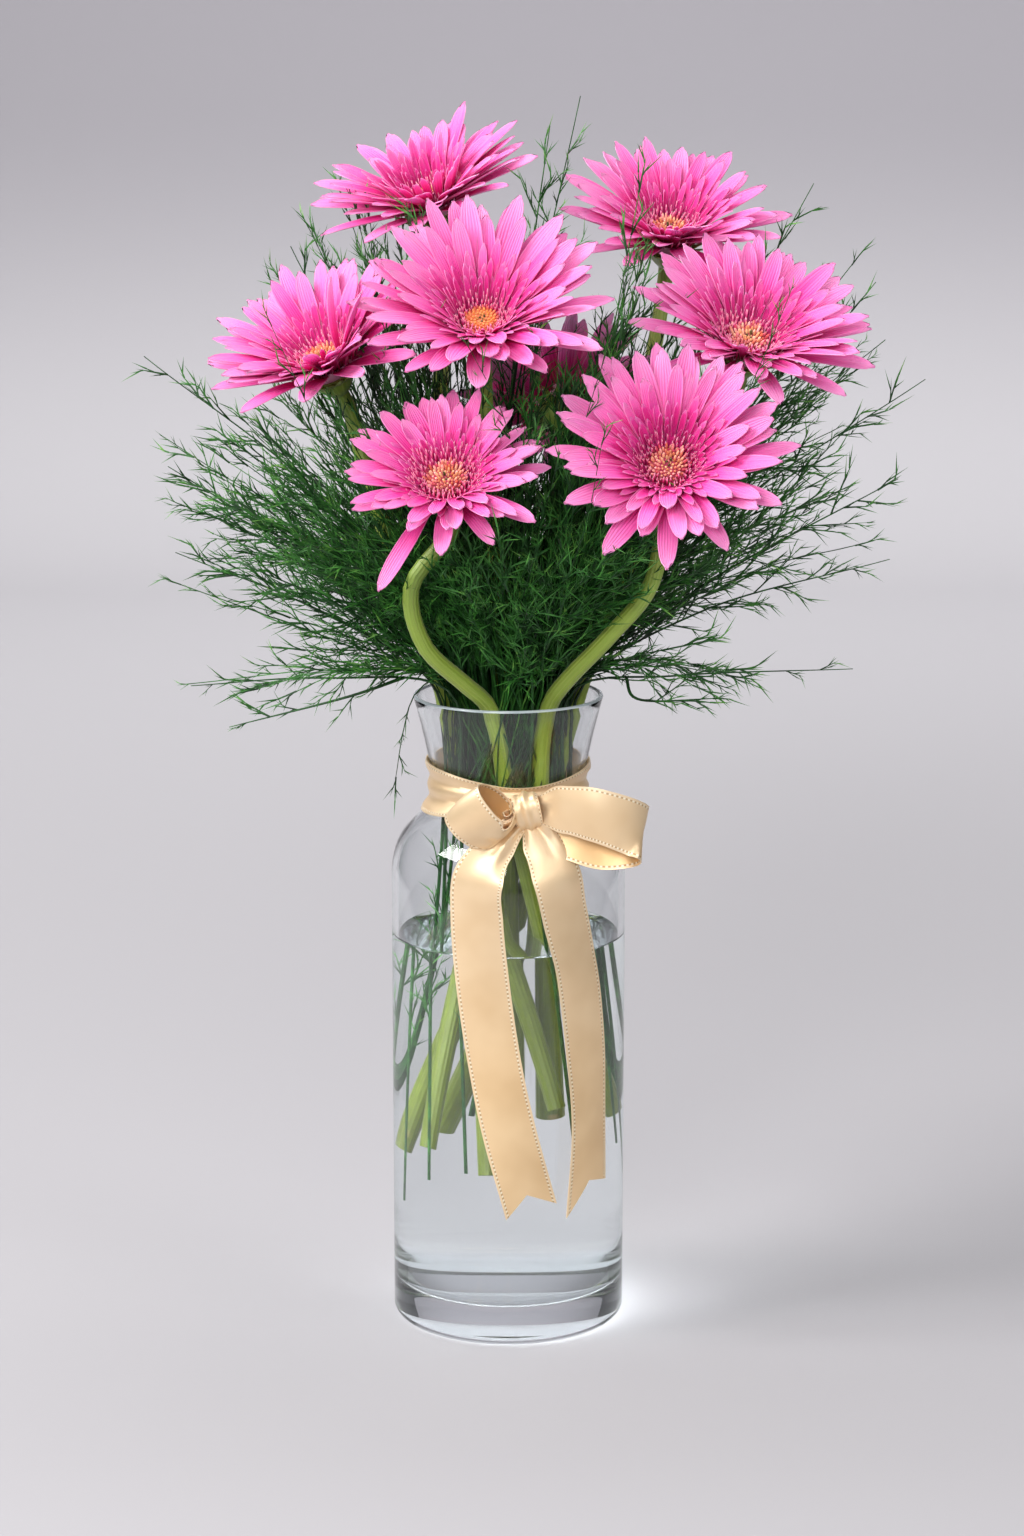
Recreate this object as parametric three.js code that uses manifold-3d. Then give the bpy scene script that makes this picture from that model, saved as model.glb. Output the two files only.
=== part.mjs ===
// Gerberas in a vase: eight gerbera heads on their own stems and eleven asparagus fern sprays stand
// in a clear glass bottle vase with water, and one length of satin ribbon is tied round its neck.
//
// Millimetres, +Z up. The origin is the centre of the vase's flat foot, and -Y is the front, where
// the bow is. Petals and fern branches are placed by rule. A petal that would cross another piece is
// lifted until it is clear, and a fern branch that would cross one is left out.

import * as THREE from 'three';
import Module from 'manifold-3d';
import { mergeVertices } from 'three/addons/utils/BufferGeometryUtils.js';

const wasm = await Module();
wasm.setup();

// ---- driving dimensions ----------------------------------------------------------------------

const VASE_HEIGHT = 302;
const BODY_RADIUS = 55;
const NECK_RADIUS = 35.4;
const NECK_Z = 258;
const SHOULDER_Z = 214;
const SHOULDER_HANDLES = [[BODY_RADIUS, 244], [38, 238]];
const LIP_RADIUS = 44.3;
const FOOT_RADIUS = 50;
const WALL = 3;
const GLASS_FOOT = 18;
const WATER_LEVEL = 188.5;
const ROUND_SEGMENTS = 28;

// GAP is left between pieces that would touch. Petals and branches keep LEAST_GAP from the others.
const GAP = 0.35;
const LEAST_GAP = 0.3;

const STEM_RADIUS = 4;
const STEM_SIDES = 6;
const STEM_STEPS = 12;

const RIBBON_WIDTH = 25;
const RIBBON_THICKNESS = 1;
const BAND_TOP = 271;
const BAND_BOTTOM = 247;
const BAND_THICKNESS = 1.8;
const KNOT_ANGLE = 11;
const TAIL_STAND_OFF = 2.6;

const NEEDLE_RADIUS = 0.95;
const FERN_STEM_RADIUS = 1.2;
const FERN_CORE_RADIUS = 1.9;

// ---- colours and finishes --------------------------------------------------------------------

const FINISH = {
  glass: { color: 0xdfe8ea, roughness: 0.03, metalness: 0 },
  water: { color: 0xd8e4e2, roughness: 0.02, metalness: 0 },
  petal: { color: 0xee5fae, roughness: 0.55, metalness: 0 },
  disc: { color: 0xf0a052, roughness: 0.7, metalness: 0 },
  stem: { color: 0x9fb04c, roughness: 0.5, metalness: 0 },
  fern: { color: 0x24602f, roughness: 0.6, metalness: 0 },
  satin: { color: 0xe8c48a, roughness: 0.35, metalness: 0 },
};

// ---- the eight heads and their stems ---------------------------------------------------------
// centre: middle of the disc. azimuth, elevation: where the head faces, in degrees.
// radius: disc centre to petal tip. cup: how far the petals rise above the head's own plane.
// drooping: one long outer petal that hangs lower than the rest.
// route: the stem from its cut end in the water, through the neck, to under the head.

const HEADS = [
  { seed: 6, centre: [-26.7, -80, 410.8], azimuth: -95, elevation: 48, radius: 48, cup: 14,
    drooping: { petal: 8, drop: 34, stretch: 1.24 },
    route: [[37, 9, 97], [-1, -21, 262], [-5, -26, 288], [-10, -32, 303], [-20, -41, 314], [-38, -52, 334],
      [-43, -60, 362]] },
  { seed: 7, centre: [70.1, -80, 417.4], azimuth: -90, elevation: 38, radius: 59, cup: 20,
    route: [[11.5, 36, 92], [14.5, -19, 262], [16, -23, 288], [20, -29, 304], [28, -36, 316], [46, -46, 337],
      [64, -56, 362]] },
  { seed: 3, centre: [-11.6, -40, 476.3], azimuth: -92, elevation: 50, radius: 63, cup: 21,
    route: [[2, 3, 100], [0, -1, 262], [-3, -6, 330], [-9, -18, 410]] },
  { seed: 5, centre: [108.5, -10, 465], azimuth: -74, elevation: 56, radius: 61, cup: 16,
    route: [[-19, 33, 85], [22, -2, 262], [42, -4, 330], [78, -6, 405]] },
  { seed: 2, centre: [-82.3, -20, 457.8], azimuth: -130, elevation: 57, radius: 59, cup: 20,
    route: [[20, -27, 110], [-22, -1, 262], [-36, -5, 325], [-62, -10, 395]] },
  { seed: 4, centre: [75.6, 60, 510.1], azimuth: -84, elevation: 60, radius: 57, cup: 18,
    route: [[-37, 8, 79], [15, 14, 262], [28, 26, 330], [63, 53, 430]] },
  { seed: 1, centre: [-36.4, 45, 526], azimuth: -128, elevation: 64, radius: 56, cup: 15,
    route: [[-9, -37, 80], [-13, 15, 262], [-19, 24, 330], [-32, 38, 430]] },
  { seed: 8, centre: [25, 48, 431], azimuth: 100, elevation: 36, radius: 50, cup: 16,
    route: [[-33, -19, 88], [2, 21, 262], [8, 26, 310], [20, 28, 370]] },
];

// The rows of petals, from the outside in. root, height: where a petal leaves the head's core.
// reach: share of the head's radius. rise: lift above the head's cup. curl: how far a petal arches
// back towards its tip.
const PETAL_ROWS = [
  { seed: 1, count: 12, phase: 0, root: 9, height: -3, reach: 1, width: 12.8, rise: 0, curl: 16 },
  { seed: 2, count: 12, phase: 0.5, root: 9, height: -1, reach: 0.93, width: 12.2, rise: 10, curl: 14 },
];

// Along a petal, from root to tip: share of its length, and share of its full width.
const PETAL_STATIONS = [[0, 0], [0.52, 1], [1, 0.45]];
const PETAL_KEEL = 1.5;
const PETAL_TROUGH = 0.5;

// The most that one petal differs from another, as shares of its own value or in degrees.
const PETAL_SPREAD = { length: 0.12, width: 0.16, turn: 0.24, rise: 7, roll: 22 };

// The lifts in degrees that are tried in turn until a petal is clear of everything placed before.
const LIFTS = [0, 6, -6, 12, -12, 18, -18, 25, 32, 40, 50];

const CROWN_PETALS = 10;
const CROWN_REACH = 0.43;
const CROWN_RISE = 34;
const CROWN_RIM = 16;
const CROWN_ROOT = 12;
const CROWN_SPREAD = 0.3;
const DISC_FLOOR = 1.2;
const DISC_SEGMENTS = 12;
const DISC_BUMP = 0.55;

// ---- the fern sprays -------------------------------------------------------------------------
// neck: the stem's angle round the neck in degrees, foot: its cut end's height in the water.
// plumes: each tip, with the point that its axis bends through on the way out of the neck.

const FERNS = [
  { name: 'fern_left_high', neck: 172, foot: 59, plumes: [
    { via: [-84, 4, 390], tip: [-166, -5, 459] }, { via: [-82, 14, 360], tip: [-158, 15, 406] },
    { via: [-60, 26, 420], tip: [-101, 36, 506] }] },
  { name: 'fern_left_mid', neck: 197, foot: 75, plumes: [
    { via: [-86, -22, 344], tip: [-152, -20, 371] }, { via: [-72, -44, 348], tip: [-118, -62, 372] }] },
  { name: 'fern_left_low', neck: 222, foot: 82, plumes: [
    { via: [-84, -38, 316], tip: [-146, -20, 309] }, { via: [-70, -48, 310], tip: [-127, -42, 294] }] },
  { name: 'fern_back_left', neck: 140, foot: 70, plumes: [
    { via: [-50, 74, 370], tip: [-70, 124, 436] }, { via: [-46, 66, 330], tip: [-100, 92, 346] }] },
  { name: 'fern_top', neck: 112, foot: 64, plumes: [
    { via: [2, 7, 430], tip: [33, 22, 575] }, { via: [6, 8, 470], tip: [19, 10, 562] }] },
  { name: 'fern_back_right', neck: 78, foot: 90, plumes: [
    { via: [40, 86, 366], tip: [60, 132, 430] }, { via: [64, 64, 330], tip: [116, 96, 352] }] },
  { name: 'fern_right_top', neck: 30, foot: 72, plumes: [
    { via: [68, 26, 400], tip: [141, 32, 535] }, { via: [84, 56, 390], tip: [152, 66, 478] }] },
  { name: 'fern_right_high', neck: 9, foot: 80, plumes: [
    { via: [96, 12, 380], tip: [191, 0, 448] }, { via: [94, 20, 396], tip: [169, 16, 491] }] },
  { name: 'fern_right_mid', neck: -18, foot: 66, plumes: [
    { via: [88, -2, 340], tip: [177, 5, 364] }, { via: [86, -12, 352], tip: [178, -14, 404] }] },
  { name: 'fern_right_low', neck: -34, foot: 86, plumes: [
    { via: [76, -22, 314], tip: [159, -15, 316] }, { via: [58, -34, 306], tip: [98, -40, 307] }] },
  { name: 'fern_front', neck: -72, foot: 76, plumes: [
    { via: [8, -52, 340], tip: [-6, -56, 404] }, { via: [20, -56, 340], tip: [28, -58, 410] }] },
];
const FERN_NECK_RADIUS = 29.4;
const FERN_LIP_RADIUS = 36;
const FERN_LIP_RISE = 5;
const FERN_FOOT_RADIUS = 46;
const FERN_TWIST = 24;
const FORK_SHARE = 0.42;
const LEADER_BARE = 0.34;
const FORK_BARE = 0.12;
const PLUME_STEPS = 6;
const PLUME_TIP_RADIUS = 0.45;
const BRANCHES_PER_PLUME = 11;
const GOLDEN_ANGLE = 137.5;

// A branch's slant from its axis in degrees, and its length: at the plume's tip, the gain towards
// the plume's foot, and how much one branch differs from another.
const BRANCH_SLANT = { tip: 26, gain: 14, spread: 18 };
const BRANCH_LENGTH = { tip: 9, gain: 54, power: 0.8, spread: 0.3 };
const LAST_BRANCH = 0.97;
const HANGING_SHARE = 0.6;

// ---- the ribbon's loops and tails ------------------------------------------------------------
// Where the ribbon runs. A loop station has its middle, the direction across its width and the
// share of the full width that it is spread to. A tail station is an angle round the vase from the
// front, a height, an extra stand-off from the glass and the same share of the width.

const KNOT = { at: [8.6, -43.6, 256], size: [6.2, 6.4, 9.4] };
const RIGHT_LOOP = [
  { at: [12, -45, 256], across: [0, 0, 1], spread: 0.52 },
  { at: [25, -54.5, 257], across: [0, -0.05, 1], spread: 0.88 },
  { at: [42, -60, 256.5], across: [0, 0, 1], spread: 1 },
  { at: [57, -59, 252], across: [0.12, 0.08, 1], spread: 1 },
  { at: [64, -54, 248], across: [0.17, 0.25, 1], spread: 1 },
  { at: [60, -48.5, 244], across: [0.08, 0.25, 1], spread: 1 },
  { at: [46, -46, 242.5], across: [0, 0.16, 1], spread: 1 },
  { at: [30, -45.5, 245], across: [0, 0.09, 1], spread: 0.88 },
  { at: [12, -43, 252], across: [0, 0, 1], spread: 0.52 },
];
const LEFT_LOOP = {
  centre: [-12.5, -55.5, 254],
  long: [9.2, 0, -9.4],
  deep: [0, -6.4, 0],
  across: [8.4, -2.5, 8.9],
  turns: [55, 90, 125, 160, 195, 230, 265, 300],
};
const LEFT_LOOP_START = { at: [6, -45, 255], across: [0.4, 0, 1], spread: 0.48 };
const LEFT_LOOP_END = { at: [6, -43, 252], across: [0.4, 0, 1], spread: 0.48 };
const LEFT_TAIL = [
  { angle: 7, z: 252, off: 9, spread: 0.4 }, { angle: -6, z: 241, off: 5.5, spread: 0.68 },
  { angle: -14, z: 225, off: 2, spread: 0.94 }, { angle: -14.5, z: 206, off: 0.4, spread: 1 },
  { angle: -12.5, z: 180, off: 0, spread: 1 }, { angle: -7.5, z: 145, off: 0, spread: 1 },
  { angle: 0, z: 108, off: 0, spread: 1 }, { angle: 11, z: 67, off: 0, spread: 1 },
];
const RIGHT_TAIL = [
  { angle: 12, z: 252, off: 8.5, spread: 0.4 }, { angle: 18, z: 241, off: 5, spread: 0.72 },
  { angle: 23, z: 226, off: 2, spread: 0.94 }, { angle: 27, z: 208, off: 0.5, spread: 1 },
  { angle: 34, z: 180, off: 0, spread: 1 }, { angle: 39, z: 146, off: 0, spread: 1 },
  { angle: 41, z: 113, off: 0, spread: 1 }, { angle: 39, z: 68, off: 0, spread: 1 },
];
const TAIL_NOTCH = 9;

// ---- small helpers ---------------------------------------------------------------------------

const radians = THREE.MathUtils.degToRad;
const vector = (triple) => new THREE.Vector3(...triple);
const point = (x, y) => new THREE.Vector2(x, y);

// A repeatable draw between 0 and 1.
function draw(i, k) {
  const wave = Math.sin(i * 12.9898 + k * 78.233) * 43758.5453;
  return wave - Math.floor(wave);
}

function toSolid(geometry) {
  const bare = geometry.clone();
  bare.deleteAttribute('normal');
  bare.deleteAttribute('uv');
  const merged = mergeVertices(bare, 1e-4);
  const index = merged.index.array;
  const faces = [];
  for (let i = 0; i < index.length; i += 3) {
    const [a, b, c] = index.slice(i, i + 3);
    if (a !== b && b !== c && c !== a) faces.push(a, b, c);
  }
  return new wasm.Manifold(new wasm.Mesh({
    numProp: 3,
    vertProperties: new Float32Array(merged.attributes.position.array),
    triVerts: new Uint32Array(faces),
  }));
}

function toGeometry(solid) {
  const mesh = solid.getMesh();
  const geometry = new THREE.BufferGeometry();
  geometry.setAttribute('position', new THREE.BufferAttribute(mesh.vertProperties, 3));
  geometry.setIndex(new THREE.BufferAttribute(mesh.triVerts, 1));
  geometry.computeVertexNormals();
  return geometry;
}

// Joins solids into one body, drops any loose scrap and merges slivers along the joins.
function fuse(solids, sliver = 0.02) {
  const joined = wasm.Manifold.union(solids).simplify(sliver);
  const bodies = joined.decompose();
  return bodies.reduce((largest, body) => (body.volume() > largest.volume() ? body : largest));
}

function isClear(solid, others, gap) {
  return others.every((other) => solid.minGap(other, gap) >= gap);
}

// A solid of revolution about Z. The outline starts and ends on the axis, or closes on itself.
function turned(outline, segments = ROUND_SEGMENTS) {
  const geometry = new THREE.LatheGeometry(outline, segments);
  geometry.rotateX(Math.PI / 2);
  return geometry;
}

// A closed skin over rings of points, all with the same count, with a flat cap on both ends.
function skin(rings) {
  const count = rings[0].length;
  const positions = rings.flat().flatMap((corner) => [corner.x, corner.y, corner.z]);
  const faces = [];
  for (let ring = 0; ring + 1 < rings.length; ring += 1) {
    for (let side = 0; side < count; side += 1) {
      const next = (side + 1) % count;
      const a = ring * count + side;
      const b = ring * count + next;
      faces.push(a, b, b + count, a, b + count, a + count);
    }
  }
  const last = (rings.length - 1) * count;
  for (let side = 1; side + 1 < count; side += 1) {
    faces.push(0, side + 1, side);
    faces.push(last, last + side, last + side + 1);
  }
  const geometry = new THREE.BufferGeometry();
  geometry.setAttribute('position', new THREE.Float32BufferAttribute(positions, 3));
  geometry.setIndex(faces);
  return geometry;
}

// A tube through the points whose radius changes along it.
function taperedTube(points, radii, sides) {
  let across = new THREE.Vector3(0.31, 0.87, 0.12);
  const rings = points.map((at, i) => {
    const ahead = points[Math.min(i + 1, points.length - 1)];
    const behind = points[Math.max(i - 1, 0)];
    const along = ahead.clone().sub(behind).normalize();
    across = across.clone().addScaledVector(along, -across.dot(along)).normalize();
    const other = along.clone().cross(across);
    return Array.from({ length: sides }, (_, side) => {
      const turn = (2 * Math.PI * side) / sides;
      return at.clone()
        .addScaledVector(across, radii[i] * Math.cos(turn))
        .addScaledVector(other, radii[i] * Math.sin(turn));
    });
  });
  return skin(rings);
}

// A three-sided spindle: pointed at both ends, and thickest near its root.
function spike({ from, to }, radius) {
  const thickest = from.clone().lerp(to, 0.2);
  return toSolid(taperedTube([from, thickest, to], [0, radius, 0], 3));
}

// ---- vase and water --------------------------------------------------------------------------

function outerWall() {
  const shoulder = new THREE.CubicBezierCurve(
    point(BODY_RADIUS, SHOULDER_Z), point(...SHOULDER_HANDLES[0]),
    point(...SHOULDER_HANDLES[1]), point(NECK_RADIUS, NECK_Z));
  const flare = new THREE.QuadraticBezierCurve(
    point(NECK_RADIUS, NECK_Z), point(36.5, 272), point(LIP_RADIUS, VASE_HEIGHT - 1.3));
  return [...shoulder.getPoints(6), ...flare.getPoints(3).slice(1)];
}

const WALL_OUTLINE = outerWall();

// The outside radius of the glass at a height, on the straight facets between outline points.
function glassRadius(z) {
  if (z <= SHOULDER_Z) return BODY_RADIUS;
  const upper = WALL_OUTLINE.findIndex((corner) => corner.y >= z);
  const high = WALL_OUTLINE[upper];
  const low = WALL_OUTLINE[upper - 1];
  return low.x + (high.x - low.x) * (z - low.y) / (high.y - low.y);
}

function vaseGeometry() {
  const foot = [point(0, 0), point(FOOT_RADIUS, 0), point(53.6, 1.5), point(BODY_RADIUS, 5.5)];
  const lip = [point(LIP_RADIUS - 0.8, VASE_HEIGHT), point(LIP_RADIUS - 2, VASE_HEIGHT)];
  const inside = WALL_OUTLINE.map((corner) => point(corner.x - WALL, corner.y)).reverse();
  const floor = [
    point(BODY_RADIUS - WALL, GLASS_FOOT + 6), point(47, GLASS_FOOT + 0.6), point(0, GLASS_FOOT),
  ];
  return turned([...foot, ...WALL_OUTLINE, ...lip, ...inside, ...floor]);
}

function waterGeometry(stems) {
  const radius = BODY_RADIUS - WALL - 0.4;
  const body = turned([
    point(0, GLASS_FOOT + 0.5), point(46.8, GLASS_FOOT + 1.1), point(radius, GLASS_FOOT + 6.3),
    point(radius, WATER_LEVEL), point(0, WATER_LEVEL),
  ]);
  const holes = wasm.Manifold.union(stems);
  return toGeometry(fuse([toSolid(body).subtract(holes)]));
}

// ---- gerbera stems ---------------------------------------------------------------------------

function headFrame(head) {
  const azimuth = radians(head.azimuth);
  const elevation = radians(head.elevation);
  const level = Math.cos(elevation);
  const facing = new THREE.Vector3(
    level * Math.cos(azimuth), level * Math.sin(azimuth), Math.sin(elevation));
  const across = new THREE.Vector3(0, 0, 1).cross(facing).normalize();
  const upward = facing.clone().cross(across);
  return new THREE.Matrix4().makeBasis(across, upward, facing).setPosition(...head.centre);
}

const CALYX_TOP = -5.4;
const CALYX_BOTTOM = -17;

function stemTube(head, radius, startBack) {
  const frame = headFrame(head);
  const joint = new THREE.Vector3(0, 0, CALYX_BOTTOM - 15).applyMatrix4(frame);
  const top = new THREE.Vector3(0, 0, CALYX_TOP - 4).applyMatrix4(frame);
  const route = head.route.map(vector);
  const down = route[0].clone().sub(route[1]).normalize();
  route[0].addScaledVector(down, startBack);
  const path = new THREE.CatmullRomCurve3([...route, joint, top], false, 'centripetal');
  const corners = Array.from({ length: STEM_SIDES }, (_, side) => {
    const turn = (2 * Math.PI * side) / STEM_SIDES;
    return point(radius * Math.cos(turn), radius * Math.sin(turn));
  });
  return new THREE.ExtrudeGeometry(new THREE.Shape(corners), {
    steps: STEM_STEPS, extrudePath: path, bevelEnabled: false,
  });
}

function calyx(head) {
  const cup = turned([
    point(0, CALYX_BOTTOM - 2), point(STEM_RADIUS + 0.4, CALYX_BOTTOM), point(8.5, CALYX_BOTTOM + 5),
    point(11.5, CALYX_TOP), point(0, CALYX_TOP),
  ], 10);
  return cup.applyMatrix4(headFrame(head));
}

// ---- gerbera blooms --------------------------------------------------------------------------

// A blade with a flat face, a keel below it and slightly raised edges. The centre line leaves the
// root at `rise` degrees and bends back by `curl` degrees on its way to the tip.
function blade(petal, grow = 0) {
  const rise = radians(petal.rise);
  const curl = radians(petal.curl);
  const turn = radians(petal.turn);
  const outward = new THREE.Vector3(Math.cos(turn), Math.sin(turn), 0);
  const sideways = new THREE.Vector3(-Math.sin(turn), Math.cos(turn), 0);
  const rings = PETAL_STATIONS.map(([share, breadth]) => {
    const slope = rise - curl * share;
    const run = petal.length * (Math.sin(rise) - Math.sin(slope)) / curl;
    const climb = petal.length * (Math.cos(slope) - Math.cos(rise)) / curl;
    const at = outward.clone().multiplyScalar(petal.root + run);
    at.z = petal.height + climb;
    const normal = outward.clone().multiplyScalar(-Math.sin(slope));
    normal.z = Math.cos(slope);
    const side = sideways.clone().applyAxisAngle(
      outward.clone().multiplyScalar(Math.cos(slope)).setZ(Math.sin(slope)), radians(petal.roll));
    const half = (petal.width * breadth) / 2 + grow;
    const face = at.clone().addScaledVector(normal, PETAL_TROUGH + grow);
    const keel = at.clone().addScaledVector(normal, PETAL_TROUGH - PETAL_KEEL - grow);
    if (breadth === 0) return [at, at, at];
    return [
      face.clone().addScaledVector(side, -half), keel, face.clone().addScaledVector(side, half),
    ];
  });
  return skin(rings);
}

function petalOf(head, row, index, lift) {
  const key = head.seed * 7 + row.seed;
  const droops = row.seed === 1 && head.drooping?.petal === index;
  const vary = (what, offset) => PETAL_SPREAD[what] * (draw(index, key + offset) - 0.5);
  const stretch = droops ? head.drooping.stretch : 1 + vary('length', 0);
  return {
    root: row.root,
    height: row.height,
    length: (head.radius * row.reach - row.root) * stretch,
    width: row.width * (1 + vary('width', 31)),
    turn: (360 / row.count) * (index + row.phase + vary('turn', 57)),
    rise: head.cup + row.rise + row.curl / 2 + vary('rise', 83) + lift
      - (droops ? head.drooping.drop : 0),
    curl: row.curl,
    roll: vary('roll', 101),
  };
}

// The core that the petals grow from. Every other point of its rim is drawn out into one of the
// short petals that stand round the disc.
function crownedCore(head) {
  const geometry = turned([
    point(0, CALYX_TOP + GAP), point(10.6, CALYX_TOP + GAP), point(CROWN_RIM, 0), point(12.5, 3.2),
    point(9.8, DISC_FLOOR), point(0, DISC_FLOOR),
  ], 2 * CROWN_PETALS);
  const position = geometry.attributes.position;
  const rise = radians(head.cup + CROWN_RISE);
  for (let i = 0; i < position.count; i += 1) {
    const radius = Math.hypot(position.getX(i), position.getY(i));
    const around = Math.atan2(position.getY(i), position.getX(i));
    const place = Math.round((around / Math.PI) * CROWN_PETALS);
    if (radius < CROWN_RIM - 0.1 || place % 2 === 0) continue;
    const vary = 0.9 + CROWN_SPREAD * draw(place + CROWN_PETALS, head.seed);
    const length = (head.radius * CROWN_REACH - CROWN_ROOT) * vary;
    const reach = (CROWN_RIM - 2 + length * Math.cos(rise)) / radius;
    position.setX(i, position.getX(i) * reach);
    position.setY(i, position.getY(i) * reach);
    position.setZ(i, 1 + length * Math.sin(rise));
  }
  return geometry;
}

function bloomSolid(head, others) {
  const frame = headFrame(head);
  const place = (geometry) => toSolid(geometry.applyMatrix4(frame));
  const pieces = [place(crownedCore(head))];
  for (const row of PETAL_ROWS) {
    for (let index = 0; index < row.count; index += 1) {
      const lift = LIFTS.find((step) => (
        isClear(place(blade(petalOf(head, row, index, step), LEAST_GAP / 2)), others, LEAST_GAP)));
      if (lift === undefined) continue;
      pieces.push(place(blade(petalOf(head, row, index, lift))));
    }
  }
  return fuse(pieces);
}

// The disc is a low dome whose rings of open florets stand out as bumps.
function discGeometry(head) {
  const floor = DISC_FLOOR + GAP;
  const geometry = turned([
    point(0, floor), point(9.2, floor), point(9, 3.6), point(6, 4.9), point(3, 4.3), point(0, 3.6),
  ], DISC_SEGMENTS);
  const position = geometry.attributes.position;
  for (let i = 0; i < position.count; i += 1) {
    const radius = Math.hypot(position.getX(i), position.getY(i));
    if (radius < 2 || position.getZ(i) < 2) continue;
    const around = Math.atan2(position.getY(i), position.getX(i));
    const bump = DISC_BUMP * Math.cos(DISC_SEGMENTS * around / 2 + radius * 1.7);
    position.setZ(i, position.getZ(i) + bump);
  }
  return toGeometry(toSolid(geometry.applyMatrix4(headFrame(head))));
}

// ---- fern sprays -----------------------------------------------------------------------------

function round(radius, degrees, z) {
  return new THREE.Vector3(radius * Math.cos(radians(degrees)), radius * Math.sin(radians(degrees)), z);
}

function fernStemRoute(fern) {
  return [
    round(FERN_FOOT_RADIUS, fern.neck + FERN_TWIST, fern.foot),
    round(FERN_NECK_RADIUS, fern.neck, NECK_Z),
    round(FERN_LIP_RADIUS, fern.neck, VASE_HEIGHT + FERN_LIP_RISE),
  ];
}

// The first plume carries the stem on out of the neck, and the others fork from it above the lip.
function plumeCurves(fern) {
  const [, neck, lip] = fernStemRoute(fern);
  const [first, ...others] = fern.plumes;
  const leader = new THREE.CatmullRomCurve3(
    [neck, lip, vector(first.via), vector(first.tip)], false, 'centripetal');
  const forks = others.map((plume) => new THREE.CatmullRomCurve3(
    [leader.getPointAt(FORK_SHARE), vector(plume.via), vector(plume.tip)], false, 'centripetal'));
  return [leader, ...forks];
}

function plumeAxis(curve, bare) {
  const shares = Array.from({ length: PLUME_STEPS + 1 }, (_, i) => i / PLUME_STEPS);
  const radii = shares.map((share) => (
    share < bare
      ? FERN_STEM_RADIUS
      : Math.max(PLUME_TIP_RADIUS, FERN_CORE_RADIUS * (1 - share) / (1 - bare))));
  return taperedTube(shares.map((share) => curve.getPointAt(share)), radii, 3);
}

// A side branch leaves the plume's axis at a slant, turned on by the golden angle from the last.
function branchOf(curve, bare, order, index) {
  const place = (index + 0.6 * draw(index, order)) / BRANCHES_PER_PLUME;
  const share = bare + (LAST_BRANCH - bare) * place;
  const from = curve.getPointAt(share);
  const along = curve.getTangentAt(share);
  const level = new THREE.Vector3(0, 0, 1).cross(along).normalize();
  const around = radians(GOLDEN_ANGLE * index + 60 * order);
  const outward = level.applyAxisAngle(along, around);
  const slant = radians(BRANCH_SLANT.tip + BRANCH_SLANT.gain * (1 - share)
    + BRANCH_SLANT.spread * draw(index, order + 40));
  const vary = 1 + BRANCH_LENGTH.spread * (draw(index, order + 80) - 0.5);
  const length = (BRANCH_LENGTH.gain * (1 - share) ** BRANCH_LENGTH.power + BRANCH_LENGTH.tip) * vary;
  const heading = along.clone().multiplyScalar(Math.cos(slant));
  heading.addScaledVector(outward, Math.sin(slant));
  const kept = heading.z < -0.2 ? HANGING_SHARE : 1;
  return { from, to: from.clone().addScaledVector(heading, kept * length) };
}

function fernSolid(fern, order, others) {
  const [foot, neck] = fernStemRoute(fern);
  const lowStem = taperedTube([foot, neck], [FERN_STEM_RADIUS, FERN_STEM_RADIUS], 3);
  const pieces = [toSolid(lowStem)];
  plumeCurves(fern).forEach((curve, number) => {
    const bare = number === 0 ? LEADER_BARE : FORK_BARE;
    const core = toSolid(plumeAxis(curve, bare));
    pieces.push(core);
    for (let i = 0; i < BRANCHES_PER_PLUME; i += 1) {
      const needle = spike(branchOf(curve, bare, order * 3 + number, i), NEEDLE_RADIUS);
      if (isClear(needle, others, LEAST_GAP)) pieces.push(needle);
    }
  });
  return fuse(pieces);
}

// ---- ribbon ----------------------------------------------------------------------------------

function halfWidth(station) {
  return vector(station.across).setLength(station.spread * RIBBON_WIDTH / 2);
}

// A flat strip of ribbon through its stations.
function strip(stations) {
  const middles = stations.map((station) => vector(station.at));
  const rings = stations.map((station, i) => {
    const ahead = middles[Math.min(i + 1, middles.length - 1)];
    const behind = middles[Math.max(i - 1, 0)];
    const half = halfWidth(station);
    const normal = half.clone().cross(ahead.clone().sub(behind)).normalize();
    const low = middles[i].clone().sub(half);
    const high = middles[i].clone().add(half);
    const step = RIBBON_THICKNESS / 2;
    return [
      low.clone().addScaledVector(normal, -step), high.clone().addScaledVector(normal, -step),
      high.clone().addScaledVector(normal, step), low.clone().addScaledVector(normal, step),
    ].reverse();
  });
  return toSolid(skin(rings));
}

// The left loop is an oval tube of ribbon between its two ends in the knot.
function leftLoopStations() {
  const { centre, long, deep, across, turns } = LEFT_LOOP;
  const oval = turns.map((turn) => {
    const at = vector(centre)
      .addScaledVector(vector(long), Math.cos(radians(turn)))
      .addScaledVector(vector(deep), Math.sin(radians(turn)));
    return { at: at.toArray(), across, spread: 1 };
  });
  return [LEFT_LOOP_START, ...oval, LEFT_LOOP_END];
}

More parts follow.
